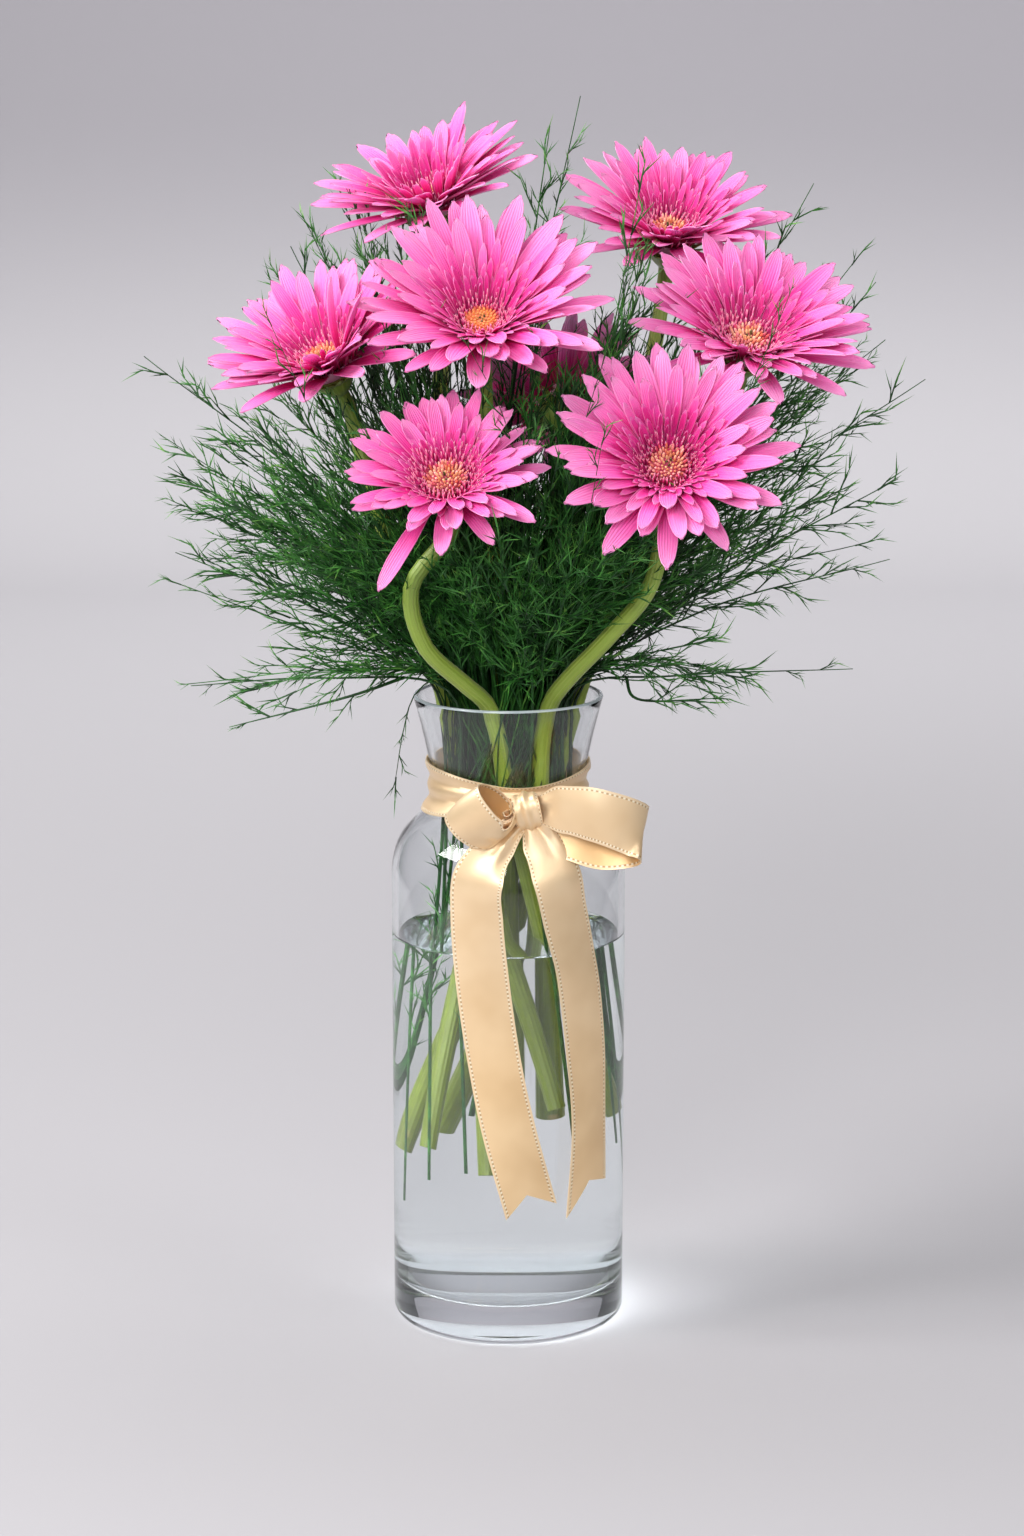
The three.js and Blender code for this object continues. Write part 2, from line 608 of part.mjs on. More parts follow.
function tailStations(tail) {
  const middles = tail.map(({ angle, z, off }) => {
    const radius = glassRadius(z) + TAIL_STAND_OFF + off;
    return new THREE.Vector3(radius * Math.sin(radians(angle)), -radius * Math.cos(radians(angle)), z);
  });
  return tail.map(({ angle, spread }, i) => {
    const ahead = middles[Math.min(i + 1, tail.length - 1)];
    const behind = middles[Math.max(i - 1, 0)];
    const outward = new THREE.Vector3(Math.sin(radians(angle)), -Math.cos(radians(angle)), 0);
    const across = ahead.clone().sub(behind).cross(outward);
    return { at: middles[i].toArray(), across: across.toArray(), spread };
  });
}

// A wedge that cuts the V out of a tail's end.
function notchCutter(stations) {
  const end = stations[stations.length - 1];
  const before = stations[stations.length - 2];
  const middle = vector(end.at);
  const half = halfWidth(end);
  const along = middle.clone().sub(vector(before.at)).normalize();
  const through = half.clone().cross(along).setLength(6);
  const corners = [
    middle.clone().addScaledVector(along, -TAIL_NOTCH),
    middle.clone().add(half).addScaledVector(along, 2),
    middle.clone().sub(half).addScaledVector(along, 2),
  ];
  return toSolid(skin([
    corners.map((corner) => corner.clone().sub(through)),
    corners.map((corner) => corner.clone().add(through)),
  ]));
}

// The band follows the flared neck and is pinched towards the knot. Its section gives the level, -1
// at the lower edge and 1 at the upper, and the number of layers out from the glass.
const BAND_SECTION = [
  [-1, 0], [0, 0], [1, 0], [1, 0.9], [0.35, 1.15], [0, 0.75], [-0.4, 1.15], [-1, 0.9],
];
const BAND_PINCH = 0.4;
const BAND_PINCH_SPAN = 0.5;

function neckBand() {
  const middle = (BAND_TOP + BAND_BOTTOM) / 2;
  const reach = (BAND_TOP - BAND_BOTTOM) / 2;
  const rings = Array.from({ length: ROUND_SEGMENTS + 1 }, (_, i) => {
    const turn = (2 * Math.PI * i) / ROUND_SEGMENTS;
    const fromKnot = Math.acos(Math.cos(turn - radians(KNOT_ANGLE - 90)));
    const pinch = 1 - BAND_PINCH * Math.exp(-((fromKnot / BAND_PINCH_SPAN) ** 2));
    return BAND_SECTION.map(([level, layer]) => {
      const z = middle + level * reach * pinch;
      const radius = glassRadius(z) + GAP + layer * BAND_THICKNESS;
      return new THREE.Vector3(radius * Math.cos(turn), radius * Math.sin(turn), z);
    });
  });
  return ringSkin(rings);
}

// A closed skin over rings that meet end to end.
function ringSkin(rings) {
  const count = rings[0].length;
  const geometry = skin(rings);
  const caps = 2 * 3 * (count - 2);
  geometry.setIndex(Array.from(geometry.index.array).slice(0, -caps));
  return toSolid(geometry);
}

function ribbonSolid() {
  const knot = new THREE.SphereGeometry(1, 10, 7).scale(...KNOT.size).translate(...KNOT.at);
  const tails = [LEFT_TAIL, RIGHT_TAIL].map((tail) => {
    const stations = tailStations(tail);
    return strip(stations).subtract(notchCutter(stations));
  });
  return fuse([neckBand(), toSolid(knot), strip(RIGHT_LOOP), strip(leftLoopStations()), ...tails]);
}

// ---- assembly --------------------------------------------------------------------------------

const bouquet = new THREE.Group();

function add(name, geometry, finish) {
  const mesh = new THREE.Mesh(geometry, new THREE.MeshStandardMaterial(FINISH[finish]));
  mesh.name = name;
  bouquet.add(mesh);
}

const vase = vaseGeometry();
const ribbon = ribbonSolid();
const stems = HEADS.map((head) => fuse([
  toSolid(stemTube(head, STEM_RADIUS, 0)), toSolid(calyx(head)),
]));

const placed = [toSolid(vase), ribbon, ...stems];
HEADS.forEach((head, i) => {
  const bloom = bloomSolid(head, placed);
  placed.push(bloom);
  add(`bloom_${head.seed}`, toGeometry(bloom), 'petal');
  add(`disc_${head.seed}`, discGeometry(head), 'disc');
  add(`stem_${head.seed}`, toGeometry(stems[i]), 'stem');
});

FERNS.forEach((fern, order) => {
  const spray = fernSolid(fern, order, placed);
  placed.push(spray);
  add(fern.name, toGeometry(spray), 'fern');
});

// The plain holes in the water that the stems stand in. A three-sided hole stands off twice as far
// at its corners as on its sides.
const holes = [
  ...HEADS.map((head) => toSolid(stemTube(head, STEM_RADIUS + 1.3 * GAP, GAP))),
  ...FERNS.map((fern) => {
    const [foot, neck] = fernStemRoute(fern);
    const low = foot.clone().addScaledVector(foot.clone().sub(neck).normalize(), GAP);
    const radius = FERN_STEM_RADIUS + 2.3 * GAP;
    return toSolid(taperedTube([low, neck], [radius, radius], 3));
  }),
];
add('vase', vase, 'glass');
add('water', waterGeometry(holes), 'water');
add('satin_ribbon', toGeometry(ribbon), 'satin');

export default bouquet;
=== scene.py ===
"""Gerberas in a vase: the finish of the blooms, stems, fern, glass, water and satin bow.

Sizes are in millimetres until a mesh is finished, when it is scaled to metres. +Z is up and the
bow faces -Y.
"""

import math

import bmesh
import bpy
from bpy.props import FloatProperty, FloatVectorProperty, IntProperty, PointerProperty
from mathutils import Matrix, Vector
from mathutils.kdtree import KDTree


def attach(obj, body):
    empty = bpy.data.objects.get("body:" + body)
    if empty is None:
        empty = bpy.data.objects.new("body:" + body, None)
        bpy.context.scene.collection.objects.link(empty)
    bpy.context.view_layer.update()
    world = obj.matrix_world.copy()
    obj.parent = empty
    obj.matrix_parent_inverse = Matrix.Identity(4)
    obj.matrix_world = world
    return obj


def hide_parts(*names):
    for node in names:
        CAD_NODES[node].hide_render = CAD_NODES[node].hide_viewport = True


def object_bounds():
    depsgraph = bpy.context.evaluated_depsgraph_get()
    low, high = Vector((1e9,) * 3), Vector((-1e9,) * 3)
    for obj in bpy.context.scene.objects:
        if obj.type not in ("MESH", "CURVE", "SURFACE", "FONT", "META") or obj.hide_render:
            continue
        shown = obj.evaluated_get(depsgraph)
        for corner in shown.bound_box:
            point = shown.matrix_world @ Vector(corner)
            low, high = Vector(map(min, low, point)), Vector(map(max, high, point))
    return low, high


bl_info = {
    "name": "Gerberas in a vase",
    "version": (1, 0, 0),
    "blender": (4, 5, 0),
    "location": "3D View > Sidebar > Flowers",
    "description": "Dresses the bouquet, its vase and its satin bow",
    "category": "Add Mesh",
}

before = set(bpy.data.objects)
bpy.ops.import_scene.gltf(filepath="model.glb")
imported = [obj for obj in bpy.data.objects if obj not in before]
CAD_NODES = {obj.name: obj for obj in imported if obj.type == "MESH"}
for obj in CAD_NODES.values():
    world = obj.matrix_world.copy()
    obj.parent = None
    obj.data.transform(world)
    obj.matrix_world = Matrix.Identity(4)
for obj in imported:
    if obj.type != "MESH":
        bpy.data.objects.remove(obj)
CAD_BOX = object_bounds()

MM = 0.001
SHARP_ANGLE = 38
Z_AXIS = Vector((0, 0, 1))
LOW_CORNER, HIGH_CORNER = (Vector(corner) / MM for corner in CAD_BOX)

# ---- the blooms ------------------------------------------------------------------------------
# centre: middle of the disc. azimuth, elevation: where the head faces, in degrees.
# radius: disc centre to petal tip. cup: how far the petals rise above the head's own plane.
# disc: the radius of its florets. warmth: how far the disc's yellow has turned to coral.
# closed: how much steeper the inner petals stand, in degrees. drooping: the petal that hangs,
# how many degrees it drops and how much longer it is.
# route: the stem from its cut end in the water, through the neck, to under the head.

HEADS = [
    {"seed": 6, "centre": (-26.7, -80, 410.8), "azimuth": -95, "elevation": 48, "radius": 48, "cup": 14,
     "disc": 8.6, "warmth": 0.75, "drooping": {"petal": 8, "drop": 34, "stretch": 1.24},
     "route": [(37, 9, 97), (-1, -21, 262), (-5, -26, 288), (-10, -32, 303), (-20, -41, 314),
               (-38, -52, 334), (-43, -60, 362)]},
    {"seed": 7, "centre": (70.1, -80, 417.4), "azimuth": -90, "elevation": 38, "radius": 59, "cup": 20,
     "disc": 8.2, "warmth": 0.7,
     "route": [(11.5, 36, 92), (14.5, -19, 262), (16, -23, 288), (20, -29, 304), (28, -36, 316),
               (46, -46, 337), (64, -56, 362)]},
    {"seed": 3, "centre": (-11.6, -40, 476.3), "azimuth": -92, "elevation": 50, "radius": 63, "cup": 21,
     "disc": 7, "warmth": 0.1,
     "route": [(2, 3, 100), (0, -1, 262), (-3, -6, 330), (-9, -18, 410)]},
    {"seed": 5, "centre": (108.5, -10, 465), "azimuth": -74, "elevation": 56, "radius": 61, "cup": 16,
     "disc": 8.8, "warmth": 0.9,
     "route": [(-19, 33, 85), (22, -2, 262), (42, -4, 330), (78, -6, 405)]},
    {"seed": 2, "centre": (-82.3, -20, 457.8), "azimuth": -130, "elevation": 57, "radius": 59, "cup": 20,
     "disc": 8.2, "warmth": 0.45,
     "route": [(20, -27, 110), (-22, -1, 262), (-36, -5, 325), (-62, -10, 395)]},
    {"seed": 4, "centre": (75.6, 60, 510.1), "azimuth": -84, "elevation": 60, "radius": 57, "cup": 18,
     "disc": 7.4, "warmth": 0.6, "closed": 8,
     "route": [(-37, 8, 79), (15, 14, 262), (28, 26, 330), (63, 53, 430)]},
    {"seed": 1, "centre": (-36.4, 45, 526), "azimuth": -128, "elevation": 64, "radius": 56, "cup": 15,
     "disc": 7.4, "warmth": 0.5, "closed": 20,
     "route": [(-9, -37, 80), (-13, 15, 262), (-19, 24, 330), (-32, 38, 430)]},
    {"seed": 8, "centre": (25, 48, 431), "azimuth": 100, "elevation": 36, "radius": 50, "cup": 16,
     "disc": 7, "warmth": 0.6,
     "route": [(-33, -19, 88), (2, 21, 262), (8, 26, 310), (20, 28, 370)]},
]

# The two outer rows stand where the solid petals stand, and were lifted as they were.
PETAL_ROWS = [
    {"seed": 1, "count": 12, "phase": 0, "root": 9, "height": -3, "reach": 1, "width": 12.8, "rise": 0,
     "curl": 16},
    {"seed": 2, "count": 12, "phase": 0.5, "root": 9, "height": -1, "reach": 0.93, "width": 12.2,
     "rise": 10, "curl": 14},
]
PETAL_SPREAD = {"length": 0.12, "width": 0.16, "turn": 0.24, "rise": 7, "roll": 22}
LIFTS = [0, 6, -6, 12, -12, 18, -18, 25, 32, 40, 50]
TIP_BREADTH = 0.45
TROUGH = 0.5
SAME_CORNER = 0.06
PETALS_IN_ROW = 12
PETAL_SPACING = 30
PETAL_BEND = 3.2
PETAL_TWIST = 26

# The rows that fill in between, from the outside in. depth: 0 for the palest row, 1 for the ring
# of narrow petals round the disc.
FILLER_ROWS = [
    {"count": 16, "phase": 0.25, "root": 9.5, "height": 0, "reach": 0.92, "width": 8.4, "rise": 13,
     "curl": 12, "depth": 0.06},
    {"count": 16, "phase": 0.77, "root": 10, "height": 1.0, "reach": 0.78, "width": 7.4, "rise": 19,
     "curl": 12, "depth": 0.2},
    {"count": 24, "phase": 0.1, "root": 11.5, "height": 1.8, "reach": 0.60, "width": 4.0, "rise": 26,
     "curl": 14, "depth": 0.45},
    {"count": 30, "phase": 0.6, "root": 10, "height": 2.2, "reach": 0.47, "width": 2.9, "rise": 33,
     "curl": 16, "depth": 0.7},
    {"count": 32, "phase": 0.3, "root": 10, "height": 2.4, "reach": 0.38, "width": 2.2, "rise": 38,
     "curl": 16, "depth": 0.85},
    {"count": 30, "phase": 0.8, "root": 10, "height": 2.4, "reach": 0.31, "width": 1.9, "rise": 44,
     "curl": 14, "depth": 1},
]
VISIBLE_WIDTH = 0.76
USUAL_RADIUS = 60
SLENDER_POWER = 0.8
FINE_GRID = (6, 11)
SMALL_GRID = (3, 5)

CORE = {"radius1": 10.6, "radius2": 13.5, "depth": 6}

COOL_DISC = 5.6
DOME_RADIUS = 9.1
DOME_FLATNESS = 0.3
DOME_MIDDLE = 1.75
DOME_RISE = 2.73
DISC_FLORETS = 75
FLORET_WIDTH = 3.3
# Each ring of florets: its distance beyond the disc, how many it has, and their lean in degrees.
RING_FLORETS = [(0.6, 26, 80), (1.8, 29, 74), (3.1, 32, 68), (4.4, 34, 62), (5.7, 36, 56), (7.2, 36, 48)]

CALYX = [(0, -19), (4.4, -17), (8.5, -12), (11.5, -5.4), (10.4, -4.9), (0, -5.2)]
STEM_RADIUS = 3.95
STEM_STEPS = 56
CUP_REACH = 25
BRACT_THICKNESS = 0.5
# Each ring of bracts: how many it has, and the height and radius at which they start.
BRACT_RINGS = [(15, -13.5, 6.6), (17, -9.0, 9.6)]

# ---- the fern --------------------------------------------------------------------------------
# neck: the stem's angle round the neck in degrees, foot: its cut end's height in the water.
# plumes: each tip, with the point that its axis bends through on the way out of the neck.

FERNS = [
    {"name": "left_high", "neck": 172, "foot": 59, "plumes": [
        ((-84, 4, 390), (-166, -5, 459)), ((-82, 14, 360), (-158, 15, 406)),
        ((-60, 26, 420), (-101, 36, 506))]},
    {"name": "left_mid", "neck": 197, "foot": 75, "plumes": [
        ((-86, -22, 344), (-152, -20, 371)), ((-72, -44, 348), (-118, -62, 372))]},
    {"name": "left_low", "neck": 222, "foot": 82, "plumes": [
        ((-84, -38, 316), (-146, -20, 309)), ((-70, -48, 310), (-127, -42, 294))]},
    {"name": "back_left", "neck": 140, "foot": 70, "plumes": [
        ((-50, 74, 370), (-70, 124, 436)), ((-46, 66, 330), (-100, 92, 346))]},
    {"name": "top", "neck": 112, "foot": 64, "plumes": [
        ((2, 7, 430), (33, 22, 575)), ((6, 8, 470), (19, 10, 562))]},
    {"name": "back_right", "neck": 78, "foot": 90, "plumes": [
        ((40, 86, 366), (60, 132, 430)), ((64, 64, 330), (116, 96, 352))]},
    {"name": "right_top", "neck": 30, "foot": 72, "plumes": [
        ((68, 26, 400), (141, 32, 535)), ((84, 56, 390), (152, 66, 478))]},
    {"name": "right_high", "neck": 9, "foot": 80, "plumes": [
        ((96, 12, 380), (191, 0, 448)), ((94, 20, 396), (169, 16, 491))]},
    {"name": "right_mid", "neck": -18, "foot": 66, "plumes": [
        ((88, -2, 340), (177, 5, 364)), ((86, -12, 352), (178, -14, 404))]},
    {"name": "right_low", "neck": -34, "foot": 86, "plumes": [
        ((76, -22, 314), (159, -15, 316)), ((58, -34, 306), (98, -40, 307))]},
    {"name": "front", "neck": -72, "foot": 76, "plumes": [
        ((8, -52, 340), (-6, -56, 404)), ((20, -56, 340), (28, -58, 410))]},
]
NECK_Z = 258
FERN_LIP_Z = 307
FERN_NECK_RADIUS = 29.4
FERN_LIP_RADIUS = 36
FERN_FOOT_RADIUS = 46
FERN_TWIST = 24
FERN_STEM_RADIUS = 0.85
FORK_SHARE = 0.42
LEADER_BARE = 0.34
FORK_BARE = 0.12
BRANCHES_PER_PLUME = 11
GOLDEN_ANGLE = 137.5
BRANCH_SLANT = {"tip": 26, "gain": 14, "spread": 18}
BRANCH_LENGTH = {"tip": 9, "gain": 54, "power": 0.8, "spread": 0.3}
LAST_BRANCH = 0.97
HANGING_SHARE = 0.6
STRANDS_PER_PLUME = 20
STRANDS_PER_SIDE_PLUME = 12
STRANDS_PER_LOW_PLUME = 4
STRAND_FAN = 0.28
STRAND_STEP = 9.5
FILLERS_PER_FERN = 62
WISPS_PER_STEM = 9
WISP_NECKS = (100, 240)
TWIGLET_SPACING = 7
SAME_TIP = 0.4
LOW_BRANCH = 0.7
EXTRA_BRANCH = 0.72
SIDE_PLUME_Z = 410
CROSSING_STEP = 12
# Five strands cross in front of the heads, and the last one hangs beside the neck.
CROSSING_STRANDS = [
    [(10, -50, 330), (8, -62, 390), (-2, -82, 440), (-16, -94, 470)],
    [(22, -52, 330), (26, -72, 400), (34, -86, 440), (44, -92, 474)],
    [(-40, -46, 345), (-70, -62, 400), (-88, -80, 446), (-102, -90, 480)],
    [(20, -60, 350), (34, -100, 396), (40, -116, 432)],
    [(50, -50, 350), (92, -64, 420), (110, -76, 462), (122, -78, 492)],
    [(-30, -20, 316), (-43, -27, 306), (-48, -28, 290), (-52, -20, 266)],
]
# The gap that the back head is seen through: the eye, the head and the gap's radius.
BACK_GAP = ((1.8, -1660, 620), (27, 25, 448), 12)
LOW_PLUME_Z = 330
LOWEST_TWIG = 300
LOWEST_BRANCH = 294
BOX_MARGIN = 2
BRANCH_SIZES = (14, 24, 36, 50, 66)
BRANCH_KINDS = 3

# ---- the vase and the ribbon -----------------------------------------------------------------

SHOULDER = [(55, 214), (55, 244), (38, 238), (35.4, 258)]
FLARE = [(35.4, 258), (36.5, 272), (44.3, 300.7)]
WALL = 3
GLASS_FOOT = 18
WATER_LEVEL = 188.5
WATER_BITE = 0.12
LIP_X = 43.25
LIP_Z = 300.9
EDGE_TINT = (0.66, 0.78, 0.76, 1)

RIBBON_WIDTH = 25
TAIL_STAND_OFF = 2.6
BAND_TOP = 271
BAND_BOTTOM = 247
KNOT_ANGLE = 11
KNOT_AT = (8.6, -46.5, 256)
RIGHT_LOOP = [
    ((12, -45, 256), (0, 0, 1), 0.5), ((24, -54.5, 258), (0, -0.05, 1), 0.88),
    ((39, -60, 257), (0, 0, 1), 1), ((53, -59.5, 252.5), (0.12, 0.08, 1), 1),
    ((60.5, -55, 247.5), (0.17, 0.25, 1), 1), ((57, -49.5, 243.5), (0.08, 0.25, 1), 1),
    ((44, -47.5, 241.5), (0, 0.16, 1), 1), ((29, -47, 244.5), (0, 0.09, 1), 0.88),
    ((12, -43, 252), (0, 0, 1), 0.52),
]
LEFT_LOOP = {
    "centre": (-11.6, -53.5, 254.2), "long": (10.4, 0, -8.9), "deep": (2.4, 7.3, 2.8),
    "across": (5.7, -4.5, 6.86),
    "turns": [(48, 0.7), (75, 0.95), (105, 1), (135, 1), (160, 1), (180, 1), (200, 1), (225, 1), (255, 1),
              (285, 0.95), (315, 0.7)]}
LEFT_LOOP_START = ((6, -44.5, 257), (0.4, 0, 1), 0.42)
LEFT_LOOP_END = ((6, -46.5, 254), (0.4, 0, 1), 0.42)
LEFT_TAIL = [(7, 252, 9, 0.4), (-6, 241, 5.5, 0.72), (-14, 225, 2, 0.97), (-14.5, 206, 0.4, 1),
             (-12.5, 180, 0, 1), (-7.5, 145, 0, 1), (0, 108, 0, 1), (11, 67, 0, 1)]
RIGHT_TAIL = [(12, 252, 8.5, 0.4), (18, 241, 5, 0.76), (23, 226, 2, 0.97), (27, 208, 0.5, 1),
              (33.5, 180, 1.2, 1), (38.5, 146, 1.8, 1), (40.5, 113, 1.8, 1), (38, 63, 1.8, 1)]
TAIL_NOTCH = 9
RIGHT_TAIL_SKEW = 15
RIGHT_TAIL_TURN = -8
RIBBON_CUP = 1.1
RIBBON_GRID = (14, 90)
TAIL_FOLD = 1.5
LOOP_FOLD = 0.8
CLOTH_THICKNESS = 0.5
LONGEST_STEP = 3
# Flat sizes in metres.
BAND_LENGTH = 0.24
KNOT_FLAT = (0.0125, 0.045)
# The satin's pale colours near the knot are a painted highlight; SATIN_LOW is its own golden colour further
# along.
SATIN_PAINTED_HIGHLIGHT = (0xE6C69A, 0xF4D8B0)
SATIN_LOW = (0xE2BE8C, 0xF1D0A0)
# Orange near the knot on the inside of a loop: painted reflected light.
SATIN_IN_LOOP_PAINTED_REFLECTION = (0xECBA76, 0xF6CC94)

# ---- the stage -------------------------------------------------------------------------------

SWEEP_HALF_WIDTH = 4500
SWEEP_BEND = (2150, 700)
LIGHT_BOUNCES = 28
FLAG_DISTANCE = 0.8
FLAG_SIZE = (0.7, 1.6)
CAMERA_PLACE = (0.001757, -1.66077, 0.6199)
CAMERA_DIP = 12.028


# ---- small sums ------------------------------------------------------------------------------

def draw(i, k):
    """A repeatable draw between 0 and 1."""
    wave = math.sin(i * 12.9898 + k * 78.233) * 43758.5453
    return wave - math.floor(wave)


def linear(code):
    """A screen colour such as 0xFF80C0 as linear red, green, blue and a full alpha."""
    parts = [((code >> shift) & 255) / 255 for shift in (16, 8, 0)]
    return tuple(p / 12.92 if p <= 0.04045 else ((p + 0.055) / 1.055) ** 2.4 for p in parts) + (1.0,)


def smooth(low, high, value):
    share = min(max((value - low) / (high - low), 0), 1)
    return share * share * (3 - 2 * share)


def bezier(points, share):
    """A point on a Bezier curve through 3 or 4 control points."""
    points = [Vector(p) for p in points]
    while len(points) > 1:
        points = [a.lerp(b, share) for a, b in zip(points, points[1:])]
    return points[0]


class Route:
    """A centripetal curve through points, measured along its length from 0 to 1."""

    DIVISIONS = 200

    def __init__(self, points):
        self.points = [Vector(p) for p in points]
        steps = [self._point(i / self.DIVISIONS) for i in range(self.DIVISIONS + 1)]
        self.lengths = [0.0]
        for a, b in zip(steps, steps[1:]):
            self.lengths.append(self.lengths[-1] + (b - a).length)
        self.length = self.lengths[-1]

    def _point(self, t):
        points = self.points
        last = len(points) - 1
        place = last * t
        i = min(int(math.floor(place)), last - 1)
        weight = place - i
        p1, p2 = points[i], points[i + 1]
        p0 = points[i - 1] if i > 0 else p1 * 2 - p2
        p3 = points[i + 2] if i + 2 <= last else p2 * 2 - p1
        d0, d1, d2 = (max((b - a).length_squared ** 0.25, 1e-4) for a, b in ((p0, p1), (p1, p2), (p2, p3)))
        out = ((p1 - p0) / d0 - (p2 - p0) / (d0 + d1) + (p2 - p1) / d1) * d1
        into = ((p2 - p1) / d1 - (p3 - p1) / (d1 + d2) + (p3 - p2) / d2) * d1
        square = -3 * p1 + 3 * p2 - 2 * out - into
        cube = 2 * p1 - 2 * p2 + out + into
        return p1 + out * weight + square * weight ** 2 + cube * weight ** 3

    def _place(self, share):
        target = share * self.length
        low, high = 0, self.DIVISIONS
        while low + 1 < high:
            middle = (low + high) // 2
            if self.lengths[middle] <= target:
                low = middle
            else:
                high = middle
        step = self.lengths[low + 1] - self.lengths[low]
        return (low + (target - self.lengths[low]) / step) / self.DIVISIONS

    def at(self, share):
        return self._point(self._place(share))

    def tangent(self, share):
        place = self._place(share)
        return (self._point(min(place + 1e-4, 1)) - self._point(max(place - 1e-4, 0))).normalized()


# ---- materials -------------------------------------------------------------------------------

class Wire:
    """A socket of a material. Plain arithmetic on it adds the nodes that work it out."""

    def __init__(self, paint, socket):
        self.paint = paint
        self.socket = socket

    def _sum(self, operation, *values):
        return self.paint.node("ShaderNodeMath", {"operation": operation}, dict(enumerate(values)))[0]

    def __add__(self, other):
        return self._sum("ADD", self, other)

    def __radd__(self, other):
        return self._sum("ADD", other, self)

    def __sub__(self, other):
        return self._sum("SUBTRACT", self, other)

    def __rsub__(self, other):
        return self._sum("SUBTRACT", other, self)

    def __mul__(self, other):
        return self._sum("MULTIPLY", self, other)

    def __rmul__(self, other):
        return self._sum("MULTIPLY", other, self)

    def __abs__(self):
        return self._sum("ABSOLUTE", self)

    def sine(self):
        return self._sum("SINE", self)

    def clamped(self):
        return self._sum("MINIMUM", self._sum("MAXIMUM", self, 0.0), 1.0)

    def between(self, low, high):
        """0 where this is low, 1 where it is high, and smooth in between."""
        made = self.paint.node("ShaderNodeMapRange", {"interpolation_type": "SMOOTHSTEP"},
                               {"Value": self, "From Min": low, "From Max": high})
        return made[0]


class Made:
    """A node that was added. Its outputs are read by number or by name."""

    def __init__(self, paint, node):
        self.paint = paint
        self.node = node

    def __getitem__(self, key):
        return Wire(self.paint, self.node.outputs[key])


class Paint:
    """A material under construction."""

    def __init__(self, name):
        self.material = bpy.data.materials.new(name)
        self.material.use_nodes = True
        self.tree = self.material.node_tree
        self.tree.nodes.clear()

    def node(self, kind, settings=None, values=None):
        """Adds a node: its settings first, then its sockets' values or links."""
        node = self.tree.nodes.new(kind)
        for name, value in (settings or {}).items():
            if name == "stops":
                ramp = node.color_ramp
                while len(ramp.elements) < len(value):
                    ramp.elements.new(1)
                for element, (place, colour) in zip(ramp.elements, value):
                    element.position = place
                    element.color = colour
            else:
                setattr(node, name, value)
        for name, value in (values or {}).items():
            if isinstance(value, Wire):
                self.tree.links.new(value.socket, node.inputs[name])
            else:
                node.inputs[name].default_value = value
        return Made(self, node)

    def uv(self):
        """How far across and how far along the piece's own pattern a point is."""
        at = self.node("ShaderNodeTexCoord")["UV"]
        split = self.node("ShaderNodeSeparateXYZ", None, {"Vector": at})
        return split["X"], split["Y"]

    def place(self):
        return self.node("ShaderNodeTexCoord")["Object"]

    def vector(self, x=0.0, y=0.0, z=0.0):
        return self.node("ShaderNodeCombineXYZ", None, {"X": x, "Y": y, "Z": z})[0]

    def mark(self, name):
        """A number that the piece's points carry."""
        return self.node("ShaderNodeAttribute", {"attribute_name": name})["Fac"]

    def noise(self, scale, at=None, detail=2.0, roughness=0.5):
        return self.node("ShaderNodeTexNoise", None, {
            "Vector": at or self.place(), "Scale": scale, "Detail": detail, "Roughness": roughness})[0]

    def ramp(self, at, stops):
        stops = [(place, linear(code)) for place, code in stops]
        return self.node("ShaderNodeValToRGB", {"stops": stops}, {"Fac": at})["Color"]

    def mix(self, share, first, second):
        """Two colours mixed. A colour is a wire or a screen colour code."""
        first, second = (linear(c) if isinstance(c, int) else c for c in (first, second))
        made = self.node("ShaderNodeMix", {"data_type": "RGBA", "blend_type": "MIX"},
                         {0: share, 6: first, 7: second})
        return made[2]

    def bump(self, height, depth, strength=1.0):
        """A normal that follows a height between 0 and 1, which stands for depth in metres."""
        return self.node("ShaderNodeBump", None, {
            "Height": height, "Distance": depth, "Strength": strength})["Normal"]

    def surface(self, **sockets):
        values = {name.replace("_", " "): value for name, value in sockets.items()}
        return self.node("ShaderNodeBsdfPrincipled", None, values)["BSDF"]

    def done(self, shader):
        self.node("ShaderNodeOutputMaterial", None, {"Surface": shader})
        return self.material

    def clear(self, shader):
        """Lets lamps shine through a clear piece, so that what stands in it is lit."""
        lamp = self.node("ShaderNodeLightPath")["Is Shadow Ray"]
        through = self.node("ShaderNodeBsdfTransparent", None, {"Color": (0.96, 0.97, 0.97, 1)})["BSDF"]
        return self.node("ShaderNodeMixShader", None, {0: lamp, 1: shader, 2: through})[0]


